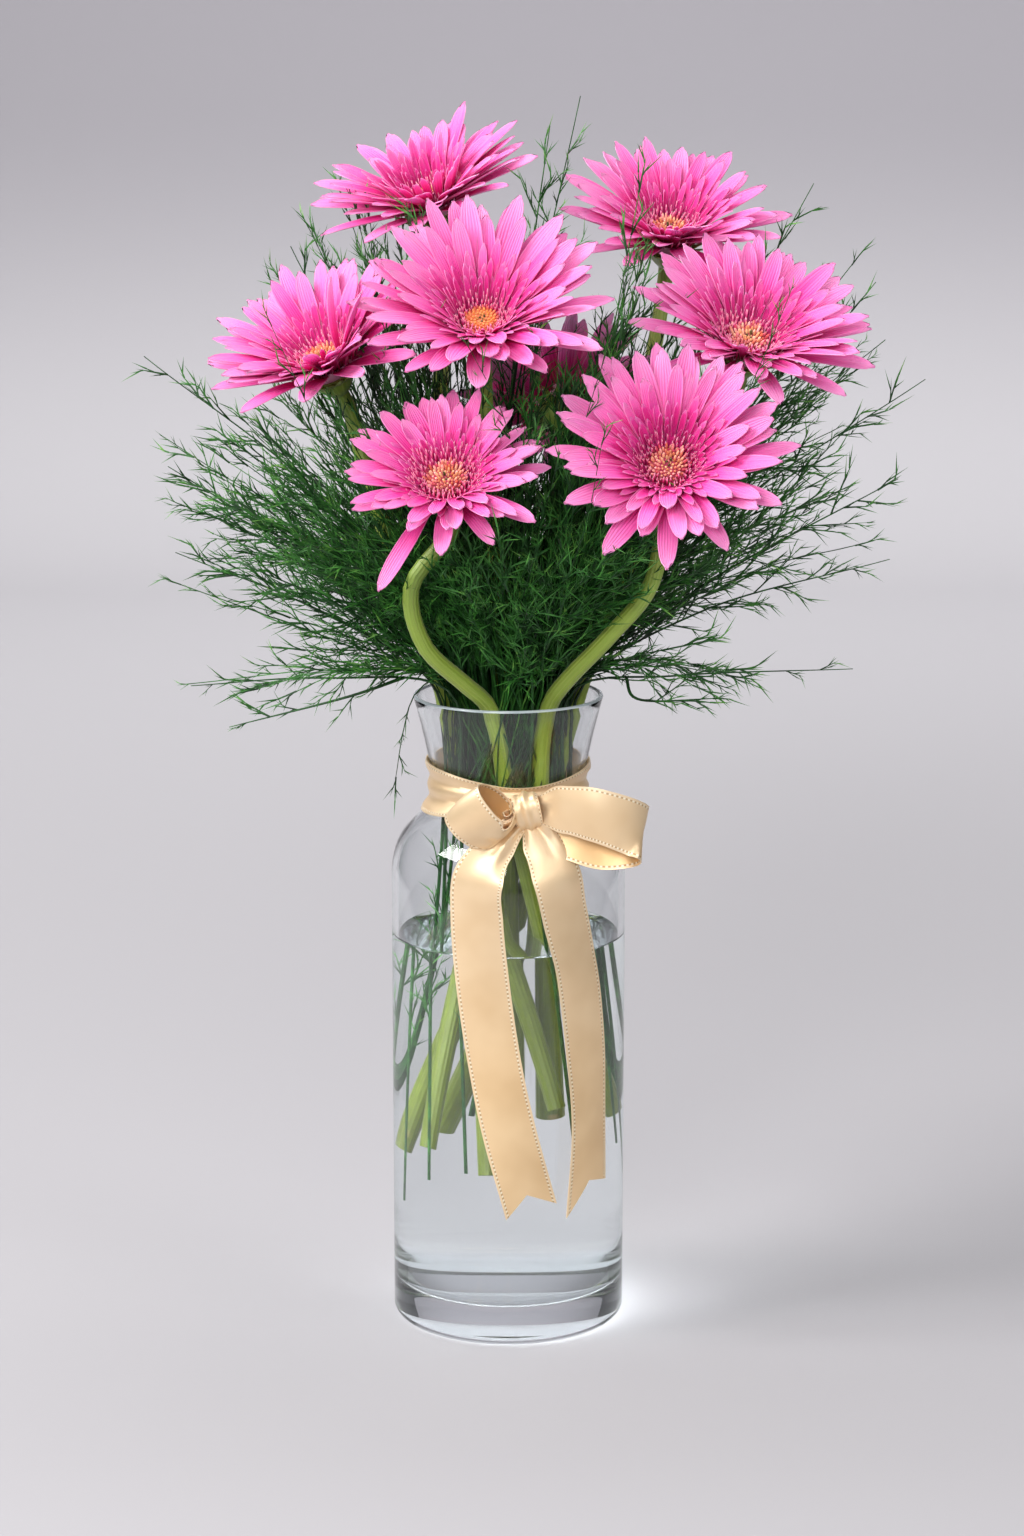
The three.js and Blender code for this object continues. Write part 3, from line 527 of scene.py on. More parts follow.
def petal_paint(name, underside):
    """Pink that is deep at the root and pale at the tip, with long veins."""
    paint = Paint(name)
    across, along = paint.uv()
    depth, tone = paint.mark("depth"), paint.mark("tone")
    fleck = paint.noise(1.0, paint.vector(across * 26.0, along * 2.2, tone * 40.0), 3.0)
    vein = paint.noise(1.0, paint.vector(across * 15.0, along * 0.7, tone * 90.0), 1.0)
    shade = along * (1.0 - depth * 0.75) + (tone - 0.5) * 0.22 + (vein - 0.5) * 0.34
    shade = shade + depth * 0.5 * along.between(0.78, 1.0)
    colour = paint.ramp(shade.clamped(), [
        (0.0, 0xA00040), (0.15, 0xCC0C68), (0.31, 0xEE3A9A), (0.5, 0xFE7CC8), (1.0, 0xFFBCEA)])
    rim = abs(across - 0.5).between(0.42, 0.5)
    colour = paint.mix(rim * 0.5, colour, 0xFFC8EA)
    colour = paint.mix(fleck.between(0.56, 0.75) * 0.25, colour, 0xD0207E)
    if underside:
        colour = paint.mix(0.5, colour, 0xD02C88)
    ridge = (across * 44.0).sine() * 0.5 + vein
    return paint.done(paint.surface(
        Base_Color=colour, Roughness=0.52 - fleck * 0.1, Normal=paint.bump(ridge, 0.00022, 0.7),
        Subsurface_Weight=0.2, Subsurface_Radius=(1.0, 0.3, 0.6), Subsurface_Scale=0.002,
        Specular_IOR_Level=0.3))


def floret_paint():
    """The ring of small florets: deep shafts with pale forked tips."""
    paint = Paint("floret_pink")
    tone = paint.mark("tone")
    grain = paint.noise(900.0)
    colour = paint.ramp((tone + (grain - 0.5) * 0.2).clamped(), [
        (0.0, 0x8C0440), (0.5, 0xC8146C), (0.72, 0xF060A4), (1.0, 0xFFCCDC)])
    return paint.done(paint.surface(
        Base_Color=colour, Roughness=0.55 - grain * 0.1, Normal=paint.bump(grain, 0.0001),
        Subsurface_Weight=0.15, Subsurface_Radius=(1.0, 0.4, 0.4), Subsurface_Scale=0.001))


def disc_paint():
    """The disc: a green eye, yellow florets, and coral ones at the edge of an older head."""
    paint = Paint("disc_florets")
    tone, warmth = paint.mark("tone"), paint.mark("depth")
    grain = paint.noise(1400.0)
    # The end of each ramp is deep: the dome takes it as painted shade in the gaps between the buds, and the
    # outermost buds take it as their own colour.
    young = paint.ramp(tone, [
        (0.0, 0x443E12), (0.1, 0x866420), (0.3, 0xC47C2C), (0.62, 0xE4943C), (0.86, 0xD05C3C),
        (1.0, 0xC03458)])
    old = paint.ramp(tone, [
        (0.0, 0xFAC08C), (0.2, 0xD05848), (0.38, 0xFFD4B8), (0.55, 0xC43050), (0.74, 0xFFC4C4),
        (0.88, 0xD03068), (1.0, 0x9C104C)])
    colour = paint.mix(warmth, young, old)
    colour = paint.mix(grain.between(0.5, 0.8) * 0.5, colour, 0xFFE2A8)
    return paint.done(paint.surface(
        Base_Color=colour, Roughness=0.7 - grain * 0.15, Normal=paint.bump(grain, 0.00015),
        Subsurface_Weight=0.12, Subsurface_Radius=(1.0, 0.5, 0.2), Subsurface_Scale=0.001))


def stem_paint():
    """Yellow-green, finely ribbed along its length and softly haired."""
    paint = Paint("stem_green")
    around, along = paint.uv()
    mottle = paint.noise(60.0, None, 3.0)
    streak = paint.noise(1.0, paint.vector(around * 34.0, along * 5.0), 3.0)
    colour = paint.ramp((along * 0.8 + mottle * 0.35 - 0.1).clamped(), [
        (0.0, 0x9C8A56), (0.03, 0x5A6818), (0.35, 0x708224), (0.7, 0x8CA33C), (1.0, 0x5F8234)])
    colour = paint.mix(streak.between(0.45, 0.75) * (0.1 + along * 0.3), colour, 0xBCC474)
    ribs = (around * 88.0).sine() * 0.4 + streak
    return paint.done(paint.surface(
        Base_Color=colour, Roughness=0.5 - streak * 0.12, Normal=paint.bump(ribs, 0.0003, 0.6),
        Subsurface_Weight=0.12, Subsurface_Radius=(0.6, 1.0, 0.3), Subsurface_Scale=0.002,
        Sheen_Weight=0.12, Sheen_Roughness=0.4))


def fern_paint():
    """Dark green needles, lighter at their young tips, and darkened by painted shade in the middle of the
    bunch.
    """
    paint = Paint("fern_green")
    young = paint.mark("tone")
    patch = paint.noise(85.0, None, 3.0, 0.7)
    grain = paint.noise(700.0)
    colour = paint.ramp((young * 0.5 + patch * 1.3 - 0.45).clamped(), [
        (0.0, 0x0C2A0E), (0.35, 0x184618), (0.7, 0x3A782C), (1.0, 0x84B650)])
    # Painted shade: the depth mark darkens needles in the middle of the bunch towards near black.
    colour = paint.mix(paint.mark("depth") * 0.86, colour, 0x041204)
    return paint.done(paint.surface(
        Base_Color=colour, Roughness=0.6 - grain * 0.15, Normal=paint.bump(grain, 0.00008),
        Specular_IOR_Level=0.4))


def satin_paint(name, painted_light_shades):
    """Champagne satin: long floats across a fine warp, and a stitched edge on both sides. The given shades
    lie near the knot and are painted light: a painted highlight outside and painted reflected light inside a
    loop. Further along it takes its own golden colour.
    """
    paint = Paint(name)
    across, along = paint.uv()
    place = paint.place()
    edge = abs(across - 0.5)
    hem = edge.between(0.424, 0.432)
    seam = hem * (1.0 - edge.between(0.456, 0.464))
    stitch = (along * 3200.0).sine().between(-0.5, 0.5)
    warp = (across * 560.0).sine()
    cloud = paint.noise(40.0, place, 2.0)
    # Painted light near the knot, blending into the satin's own golden colour further along.
    upper = paint.ramp(cloud, [(0.3, painted_light_shades[0]), (0.7, painted_light_shades[1])])
    lower = paint.ramp(cloud, [(0.3, SATIN_LOW[0]), (0.7, SATIN_LOW[1])])
    colour = paint.mix(along.between(0.05, 0.15), upper, lower)
    colour = paint.mix((hem - seam) * 0.4, colour, 0xFBE6C4)
    colour = paint.mix(seam * 0.65, colour, 0xA87C44)
    colour = paint.mix(seam * stitch * 0.85, colour, 0xFFF4DC)
    height = warp * 0.1 + hem * 0.6 + seam * (stitch - 1.0) * 0.8
    return paint.done(paint.surface(
        Base_Color=colour, Metallic=0.45, Roughness=0.39 + seam * 0.2, Anisotropic=0.6,
        Normal=paint.bump(height, 0.00015, 0.5), Specular_IOR_Level=0.8,
        Coat_Weight=0.45, Coat_Roughness=0.36))


def glass_paint(tint, foot_tint, index):
    """Clear glass, a little greyer in its thick foot."""
    paint = Paint("clear_glass")
    height = paint.node("ShaderNodeSeparateXYZ", None, {"Vector": paint.place()})["Z"]
    above = height.between((GLASS_FOOT - 1) * MM, (GLASS_FOOT + 1) * MM)
    colour = paint.mix(above, tuple(foot_tint), tuple(tint))
    edge_on = paint.node("ShaderNodeLayerWeight")["Facing"].between(0.6, 1.0)
    colour = paint.mix(edge_on, colour, EDGE_TINT)
    return paint.done(paint.clear(paint.surface(
        Base_Color=colour, Roughness=0.0, Transmission_Weight=1.0, IOR=index)))


def water_paint(tint, index):
    paint = Paint("clear_water")
    return paint.done(paint.clear(paint.surface(
        Base_Color=tint, Roughness=0.0, Transmission_Weight=1.0, IOR=index)))


def lip_paint():
    """The fire-polished lip, painted pale bluish white as a painted highlight line, and partly clear."""
    paint = Paint("lip_painted_highlight")
    grain = paint.noise(300.0, None, 1.0)
    return paint.done(paint.surface(
        Base_Color=paint.mix(grain, 0xC4D4DC, 0xE6F0F4), Roughness=0.12 + grain * 0.08,
        Transmission_Weight=0.45, IOR=1.46, Specular_IOR_Level=0.8))


# ---- mesh helpers ----------------------------------------------------------------------------

def new_mesh_work():
    """An empty bmesh with a UV map and the two numbers that the materials read."""
    work = bmesh.new()
    work.loops.layers.uv.new("UVMap")
    work.verts.layers.float.new("tone")
    work.verts.layers.float.new("depth")
    return work


def marks(work):
    return work.verts.layers.float["tone"], work.verts.layers.float["depth"]


def template(work):
    """Keeps a finished small bmesh as a mesh that can be stamped many times."""
    mesh = bpy.data.meshes.new("template")
    work.to_mesh(mesh)
    work.free()
    return mesh


def stamp(work, mesh, matrix):
    """Adds a copy of a template to a bmesh."""
    copy = mesh.copy()
    copy.transform(matrix)
    work.from_mesh(copy)
    bpy.data.meshes.remove(copy)


def finish_piece(work, name, materials, nodes, shade_smooth=True):
    """Turns a bmesh in millimetres into a piece that rides on the body and stands for nodes."""
    bmesh.ops.scale(work, vec=(MM, MM, MM), verts=work.verts)
    mesh = bpy.data.meshes.new(name)
    work.to_mesh(mesh)
    work.free()
    for material in materials:
        mesh.materials.append(material)
    if shade_smooth:
        mesh.shade_smooth()
        mesh.set_sharp_from_angle(angle=math.radians(SHARP_ANGLE))
    piece = bpy.data.objects.new(name, mesh)
    bpy.context.scene.collection.objects.link(piece)
    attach(piece, "root")
    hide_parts(*nodes)
    return piece


def rod(work, start, end, thick, thin, sides=3):
    """A tapered rod between two points, pointed where thin is 0."""
    start, end = Vector(start), Vector(end)
    along = end - start
    turn = along.to_track_quat("Z", "Y").to_matrix().to_4x4()
    bmesh.ops.create_cone(
        work, cap_ends=True, segments=sides, radius1=thick, radius2=thin, depth=along.length,
        matrix=Matrix.Translation((start + end) / 2) @ turn)


def tube(work, route, radius_at, sides, steps, shares=(0, 1), tones=None):
    """A smooth tube along a route, closed at both ends, with a UV map along it."""
    tone, _ = marks(work)
    made = bmesh.ops.create_grid(work, x_segments=sides, y_segments=steps, size=1, calc_uvs=True)
    across = Vector((0.31, 0.87, 0.12))
    frames = []
    for i in range(steps + 1):
        share = shares[0] + (shares[1] - shares[0]) * i / steps
        along = route.tangent(share)
        across = (across - along * across.dot(along)).normalized()
        frames.append((route.at(share), across.copy(), along.cross(across), share))
    for vert in made["verts"]:
        turn = math.pi * vert.co.x
        i = round((vert.co.y + 1) / 2 * steps)
        at, first, second, share = frames[i]
        radius = radius_at(share)
        vert.co = at + first * (radius * math.cos(turn)) + second * (radius * math.sin(turn))
        vert[tone] = tones(share) if tones else share
    verts = made["verts"]
    bmesh.ops.remove_doubles(work, verts=verts, dist=1e-4)
    alive = [v for v in verts if v.is_valid]
    rims = [e for e in {e for v in alive for e in v.link_edges} if e.is_boundary]
    bmesh.ops.holes_fill(work, edges=rims, sides=sides)
    faces = list({f for v in alive for f in v.link_faces})
    bmesh.ops.recalc_face_normals(work, faces=faces)


# ---- blooms ----------------------------------------------------------------------------------

def head_frame(head):
    azimuth, elevation = math.radians(head["azimuth"]), math.radians(head["elevation"])
    level = math.cos(elevation)
    facing = Vector((level * math.cos(azimuth), level * math.sin(azimuth), math.sin(elevation)))
    across = Z_AXIS.cross(facing).normalized()
    upward = facing.cross(across)
    turn = Matrix((across, upward, facing)).transposed().to_4x4()
    return Matrix.Translation(head["centre"]) @ turn


def centre_line(petal, share):
    """A petal's middle at a share of its length: distance out, height, and slope there."""
    rise, curl = math.radians(petal["rise"]), math.radians(petal["curl"])
    slope = rise - curl * share
    run = petal["length"] * (math.sin(rise) - math.sin(slope)) / curl
    climb = petal["length"] * (math.cos(slope) - math.cos(rise)) / curl
    return petal["root"] + run, petal["height"] + climb, slope


def solid_petal(head, row, index, lift):
    """A petal of one of the two outer rows, as the solid has it."""
    key = head["seed"] * 7 + row["seed"]
    drooping = head.get("drooping")
    droops = row["seed"] == 1 and drooping is not None and drooping["petal"] == index

    def vary(what, offset):
        return PETAL_SPREAD[what] * (draw(index, key + offset) - 0.5)

    stretch = drooping["stretch"] if droops else 1 + vary("length", 0)
    return {
        "root": row["root"],
        "height": row["height"],
        "length": (head["radius"] * row["reach"] - row["root"]) * stretch,
        "width": row["width"] * (1 + vary("width", 31)),
        "turn": (360 / row["count"]) * (index + row["phase"] + vary("turn", 57)),
        "rise": head["cup"] + row["rise"] + row["curl"] / 2 + vary("rise", 83) + lift
        - (drooping["drop"] if droops else 0),
        "curl": row["curl"],
        "roll": vary("roll", 101),
    }


def tip_corner(petal):
    """Where one corner of the solid petal's tip is, in the head's frame."""
    out, height, slope = centre_line(petal, 1)
    turn = math.radians(petal["turn"])
    outward = Vector((math.cos(turn), math.sin(turn), 0))
    along = outward * math.cos(slope) + Z_AXIS * math.sin(slope)
    normal = outward * -math.sin(slope) + Z_AXIS * math.cos(slope)
    side = Matrix.Rotation(math.radians(petal["roll"]), 3, along) @ Vector(
        (-math.sin(turn), math.cos(turn), 0))
    middle = outward * out + Z_AXIS * height
    return middle + normal * TROUGH - side * (petal["width"] * TIP_BREADTH / 2)


def node_points(name):
    """The corners of a solid, in millimetres, for looking up."""
    verts = CAD_NODES[name].data.vertices
    tree = KDTree(len(verts))
    for i, vert in enumerate(verts):
        tree.insert(vert.co / MM, i)
    tree.balance()
    return tree


def lift_of(head, row, index, points, place):
    """How far the solid petal was lifted to clear its neighbours, or None if it was left out."""
    for lift in LIFTS:
        corner = place @ tip_corner(solid_petal(head, row, index, lift))
        if points.find(corner)[2] < SAME_CORNER:
            return lift
    return None


def half_width(petal, share):
    """Half of a petal's width: a narrow root, near parallel edges and a rounded tip."""
    body = 0.26 + 0.74 * smooth(-0.1, 0.5, share)
    taper = 1 - 0.34 * smooth(0.68, 1, share)
    tip = math.sqrt(max(1 - (max(share - 0.84, 0) / 0.16) ** 2 * 0.92, 0))
    return petal["width"] / 2 * body * taper * tip


def add_petal(work, petal, place, seed, depth, grid=FINE_GRID):
    """A petal bent along its centre line, with a shallow trough, two grooves and a soft twist."""
    tone_mark, depth_mark = marks(work)
    made = bmesh.ops.create_grid(work, x_segments=grid[0], y_segments=grid[1], size=1, calc_uvs=True)
    turn = math.radians(petal["turn"])
    outward = Vector((math.cos(turn), math.sin(turn), 0))
    sideways = Vector((-math.sin(turn), math.cos(turn), 0))
    tone = draw(seed, 3)
    bend = PETAL_BEND * (draw(seed, 5) - 0.5)
    twist = math.radians(PETAL_TWIST * (draw(seed, 7) - 0.5))
    cup = 0.55 + 0.9 * draw(seed, 9)
    ripple = 0.5 * (draw(seed, 11) - 0.3)
    notch = 0.012 + 0.016 * draw(seed, 13)
    for vert in made["verts"]:
        side, step = vert.co.x, (vert.co.y + 1) / 2
        share = step * (1.3 - 0.3 * step)
        reach = share - notch * smooth(0.9, 1, share) * (0.5 - 0.5 * math.cos(3 * math.pi * side))
        out, height, slope = centre_line(petal, reach)
        along = outward * math.cos(slope) + Z_AXIS * math.sin(slope)
        normal = outward * -math.sin(slope) + Z_AXIS * math.cos(slope)
        roll = Matrix.Rotation(math.radians(petal["roll"]) + twist * (share - 0.5), 3, along)
        across, normal = roll @ sideways, roll @ normal
        half = half_width(petal, share)
        trough = cup * side * side * (half / 6) * (1.25 - 0.75 * share)
        groove = 0.16 * (half / 6) * math.cos(3 * math.pi * side) * smooth(0.02, 0.3, share)
        wave = ripple * math.sin(share * 7 + 2 * side) * side * share
        at = outward * out + Z_AXIS * (height + 0.2)
        at += across * (half * side + bend * share * share)
        at += normal * (trough - groove + wave)
        vert.co = place @ at
        vert[tone_mark] = tone
        vert[depth_mark] = depth
    return made["verts"]


def floret_template():
    """A small floret with a thin shaft and a forked tip, one unit high."""
    work = new_mesh_work()
    tone, _ = marks(work)
    rod(work, (0, 0, 0), (0, 0, 0.78), 0.1, 0.13, 5)
    for x in (-1, 1):
        rod(work, (0.02 * x, 0, 0.72), (0.15 * x, 0, 1.02), 0.11, 0.03, 4)
    for vert in work.verts:
        vert[tone] = smooth(0.35, 0.95, vert.co.z)
    return template(work)


def bud_template():
    """A closed disc floret: a rounded bud, one unit high."""
    work = new_mesh_work()
    bmesh.ops.create_uvsphere(work, u_segments=6, v_segments=4, radius=0.5)
    bmesh.ops.scale(work, vec=(0.8, 0.8, 1), verts=work.verts)
    bmesh.ops.translate(work, vec=(0, 0, 0.4), verts=work.verts)
    return template(work)


def leaning(radius, turn, height, lean, size):
    """Where a floret stands: at a place on the head, leaning outward, and how big it is."""
    lean_out = Matrix.Rotation(math.radians(turn), 4, "Z") @ Matrix.Translation((radius, 0, height))
    return lean_out @ Matrix.Rotation(math.radians(lean), 4, "Y") @ Matrix.Diagonal((*size, 1))


def build_petals(head, paints, thickness):
    place = head_frame(head)
    points = node_points(f"bloom_{head['seed']}")
    work = new_mesh_work()
    key = head["seed"] * 1000
    slender = (head["radius"] / USUAL_RADIUS) ** SLENDER_POWER
    lifts = {}
    for row in PETAL_ROWS:
        for index in range(row["count"]):
            lift = lift_of(head, row, index, points, place)
            lifts[row["seed"], index] = lift
            if lift is None:
                continue
            petal = solid_petal(head, row, index, lift)
            petal["width"] *= VISIBLE_WIDTH * slender
            add_petal(work, petal, place, key + row["seed"] * 40 + index, 0.08 * (row["seed"] - 1))
    for number, row in enumerate(FILLER_ROWS):
        for index in range(row["count"]):
            seed = key + 200 + number * 40 + index
            turn = (360 / row["count"]) * (index + row["phase"] + 0.3 * (draw(seed, 1) - 0.5))
            near = [lifts[1, round(turn / PETAL_SPACING) % PETALS_IN_ROW],
                    lifts[2, int(turn // PETAL_SPACING) % PETALS_IN_ROW]]
            seat = head["disc"] - COOL_DISC if number > 1 else 0
            if number < 2 and None in near:
                continue
            lift = sum(value or 0 for value in near) / 2 if number < 2 else 0
            petal = {
                "root": row["root"] + seat, "height": row["height"],
                "length": (head["radius"] * row["reach"] - row["root"]) * (0.9 + 0.24 * draw(seed, 2)),
                "width": row["width"] * slender * (0.86 + 0.28 * draw(seed, 4)), "turn": turn,
                "rise": head["cup"] + row["rise"] + row["curl"] / 2 + 11 * (draw(seed, 6) - 0.5) + lift
                + (head.get("closed", 0) if number > 1 else 0),
                "curl": row["curl"] * (0.6 + 1.1 * draw(seed, 8)), "roll": 26 * (draw(seed, 10) - 0.5),
            }
            add_petal(work, petal, place, seed, row["depth"], FINE_GRID if number < 2 else SMALL_GRID)
    upper = set(work.faces)
    work.normal_update()
    bmesh.ops.solidify(work, geom=list(work.faces), thickness=thickness)
    for face in work.faces:
        face.material_index = 0 if face in upper else 1
    cone = bmesh.ops.create_cone(
        work, cap_ends=True, segments=24, matrix=place @ Matrix.Translation((0, 0, -2)), **CORE)
    _, depth = marks(work)
    for vert in cone["verts"]:
        vert[depth] = 1
    floret = floret_template()
    for ring, (beyond, count, lean) in enumerate(RING_FLORETS):
        for i in range(count):
            seed = key + 500 + ring * 50 + i
            turn = 360 * (i + 0.5 * ring + 0.5 * (draw(seed, 1) - 0.5)) / count
            height = 3.6 + 2.4 * draw(seed, 2) + 1.0 * ring
            lean_out = 90 - lean - 10 + 18 * (draw(seed, 3) - 0.5)
            size = (FLORET_WIDTH, FLORET_WIDTH, height)
            spot = leaning(head["disc"] + beyond, turn, 1.0, lean_out, size)
            stamp_as(work, floret, place @ spot, 2)
    bpy.data.meshes.remove(floret)
    return finish_piece(work, f"petals_{head['seed']}", paints, [f"bloom_{head['seed']}"])


def stamp_as(work, mesh, matrix, index):
    """Stamps a template whose faces take the material at index."""
    before = len(work.faces)
    stamp(work, mesh, matrix)
    work.faces.ensure_lookup_table()
    for face in work.faces[before:]:
        face.material_index = index


def build_disc(head, material):
    """The disc's dome, painted deep as painted shade in the gaps, and its florets on a sunflower spiral."""
    place = head_frame(head)
    work = new_mesh_work()
    tone, depth = marks(work)
    dip = 1.1 * (1 - head["warmth"])
    bmesh.ops.create_uvsphere(work, u_segments=32, v_segments=16, radius=DOME_RADIUS)
    bmesh.ops.scale(work, vec=(1, 1, DOME_FLATNESS), verts=work.verts)
    bmesh.ops.translate(work, vec=(0, 0, DOME_MIDDLE), verts=work.verts)
    for vert in work.verts:
        radius = math.hypot(vert.co.x, vert.co.y)
        # Painted shade: the dome shows only between the buds, so it takes the deep end of the ramp.
        vert[tone] = 1 if head["warmth"] > 0.3 else max(radius / DOME_RADIUS, 0.8)
        vert[depth] = head["warmth"]
        vert.co.z -= dip * (1 - smooth(0, 4, radius))
    bud = bud_template()
    buds = round(DISC_FLORETS * (head["disc"] / 7) ** 2 * 0.9)
    for i in range(buds):
        share = math.sqrt((i + 0.5) / buds)
        radius = head["disc"] * share
        dome = (DOME_MIDDLE + DOME_RISE * math.sqrt(max(1 - (radius / DOME_RADIUS) ** 2, 0.02))
                - dip * (1 - smooth(0, 4, radius)))
        height = 1.0 + 1.3 * smooth(0.3, 0.95, share) + (0.5 + 2.6 * head["warmth"]) * draw(i, head["seed"])
        wide = 1.45 + 0.2 * head["warmth"]
        size = (wide, wide, height)
        count = len(work.verts)
        stamp(work, bud, leaning(radius, GOLDEN_ANGLE * i, dome - 0.2, 8 + 26 * share, size))
        work.verts.ensure_lookup_table()
        for vert in work.verts[count:]:
            vert[tone] = min(max(share + (0.1 + 0.8 * head["warmth"]) * (draw(i, 77) - 0.6), 0), 1)
            vert[depth] = head["warmth"]
    bpy.data.meshes.remove(bud)
    bmesh.ops.transform(work, matrix=place, verts=work.verts)
    return finish_piece(work, f"disc_florets_{head['seed']}", [material], [f"disc_{head['seed']}"])


# ---- stems -----------------------------------------------------------------------------------

def stem_route(head):
    place = head_frame(head)
    return Route([*head["route"], place @ Vector((0, 0, -32)), place @ Vector((0, 0, -9.4))])


def build_stem(head, material):
    """The stem, and under the head its cup with two rows of pointed bracts."""
    place = head_frame(head)
    work = new_mesh_work()
    tube(work, stem_route(head), lambda share: STEM_RADIUS * (1 - 0.08 * smooth(0.5, 1, share)), 16,
         STEM_STEPS)
    profile = [work.verts.new((x, 0, z)) for x, z in CALYX]
    edges = [work.edges.new(pair) for pair in zip(profile, profile[1:])]
    bmesh.ops.spin(work, geom=profile + edges, cent=(0, 0, 0), axis=(0, 0, 1), angle=2 * math.pi,
                   steps=28, use_merge=True)
    cup = [v for v in work.verts if v.co.length < CUP_REACH and v.is_valid]
    bmesh.ops.remove_doubles(work, verts=cup, dist=1e-3)
    cup = [v for v in cup if v.is_valid]
    tone, _ = marks(work)
    for vert in cup:
        vert[tone] = 1
    uv = work.loops.layers.uv["UVMap"]
    for face in {f for v in cup for f in v.link_faces}:
        for loop in face.loops:
            loop[uv].uv = (math.atan2(loop.vert.co.y, loop.vert.co.x) / math.tau + 0.5, 1)
    bmesh.ops.recalc_face_normals(work, faces=list({f for v in cup for f in v.link_faces}))
    bmesh.ops.transform(work, matrix=place, verts=cup)
    before = set(work.faces)
    for ring, (count, low, start) in enumerate(BRACT_RINGS):
        for i in range(count):
            seed = head["seed"] * 300 + ring * 40 + i
            bract = {"root": start, "height": low, "length": 8.5 + 2.4 * draw(seed, 1), "width": 4.6,
                     "turn": 360 * (i + 0.5 * ring) / count, "rise": 58 - 16 * ring, "curl": 12, "roll": 0}
            add_bract(work, bract, place, seed)
    made = [f for f in work.faces if f not in before]
    work.normal_update()
    bmesh.ops.solidify(work, geom=made, thickness=BRACT_THICKNESS)
    return finish_piece(work, f"flower_stem_{head['seed']}", [material], [f"stem_{head['seed']}"])


def add_bract(work, bract, place, seed):
    tone, _ = marks(work)
    made = bmesh.ops.create_grid(work, x_segments=2, y_segments=4, size=1, calc_uvs=True)
    turn = math.radians(bract["turn"])
    outward = Vector((math.cos(turn), math.sin(turn), 0))
    sideways = Vector((-math.sin(turn), math.cos(turn), 0))
    for vert in made["verts"]:
        side, share = vert.co.x, (vert.co.y + 1) / 2
        out, height, slope = centre_line(bract, share)
        half = bract["width"] / 2 * (1 - share ** 2 * 0.92)
        normal = outward * -math.sin(slope) + Z_AXIS * math.cos(slope)
        vert.co = place @ (outward * out + Z_AXIS * height + sideways * half * side
                           + normal * (0.5 * side * side))
        vert[tone] = 0.8 + 0.2 * draw(seed, 2)


# ---- fern ------------------------------------------------------------------------------------

def twig_template(length, kind, needle):
    """A fern branch that lies along +X: a thin twig, alternate twiglets, and fine needles."""
    work = new_mesh_work()
    tone, _ = marks(work)
    seed = round(length) * 10 + kind
    sag = length * 0.10 * (draw(seed, 1) - 0.35)

    def on_twig(share):
        return Vector((length * share, 0.4 * sag * math.sin(3 * share), sag * share * share))

    shares = [0, 0.3, 0.6, 1]
    for a, b in zip(shares, shares[1:]):
        rod(work, on_twig(a), on_twig(b), 0.46 - 0.22 * a, 0.46 - 0.22 * b if b < 1 else 0)
    count = max(3, round(length / TWIGLET_SPACING))
    for i in range(count):
        share = 0.08 + 0.88 * (i + 0.5 * draw(i, seed)) / count
        around = GOLDEN_ANGLE * i + 50 * draw(i, seed + 2)
        slant = 13 + 18 * draw(i, seed + 3)
        size = (6.5 + 0.26 * length * (1 - share)) * (0.7 + 0.6 * draw(i, seed + 4))
        add_twiglet(work, on_twig(share), around, slant, min(size, 17), seed * 50 + i, needle)
    for vert in work.verts:
        vert[tone] = min(max(vert.co.x / length, 0), 1)
    return template(work)


def add_twiglet(work, root, around, slant, size, seed, radius):
    """A short side twig with a few needles forking off it, or one long needle if it is short."""
    turn = Matrix.Rotation(math.radians(around), 3, "X") @ Matrix.Rotation(-math.radians(slant), 3, "Y")
    heading = turn @ Vector((1, 0, 0))
    end = root + heading * size
    rod(work, root, end, radius, 0)
    count = round(size / TWIGLET_SPACING) if size > 6 else 0
    for i in range(count):
        share = 0.16 + 0.7 * (i + 0.4 * draw(seed, i)) / count
        flip = Matrix.Rotation(math.radians(180 * i + 90 * draw(seed, i + 20)), 3, "X")
        lean = Matrix.Rotation(-math.radians(15 + 16 * draw(seed, i + 40)), 3, "Y")
        needle = turn @ flip @ lean @ Vector((5 + 6 * draw(seed, i + 60), 0, 0))
        start = root + heading * size * share
        rod(work, start, start + needle, radius, 0)


def fern_stem_route(fern):
    def round_z(radius, degrees, z):
        return Vector((radius * math.cos(math.radians(degrees)), radius * math.sin(math.radians(degrees)), z))

    return [round_z(FERN_FOOT_RADIUS, fern["neck"] + FERN_TWIST, fern["foot"]),
            round_z(FERN_NECK_RADIUS, fern["neck"], NECK_Z),
            round_z(FERN_LIP_RADIUS, fern["neck"], FERN_LIP_Z)]


def plume_routes(fern):
    _, neck, lip = fern_stem_route(fern)
    (via, tip), *others = fern["plumes"]
    leader = Route([neck, lip, via, tip])
    return [leader] + [Route([leader.at(FORK_SHARE), *plume]) for plume in others]


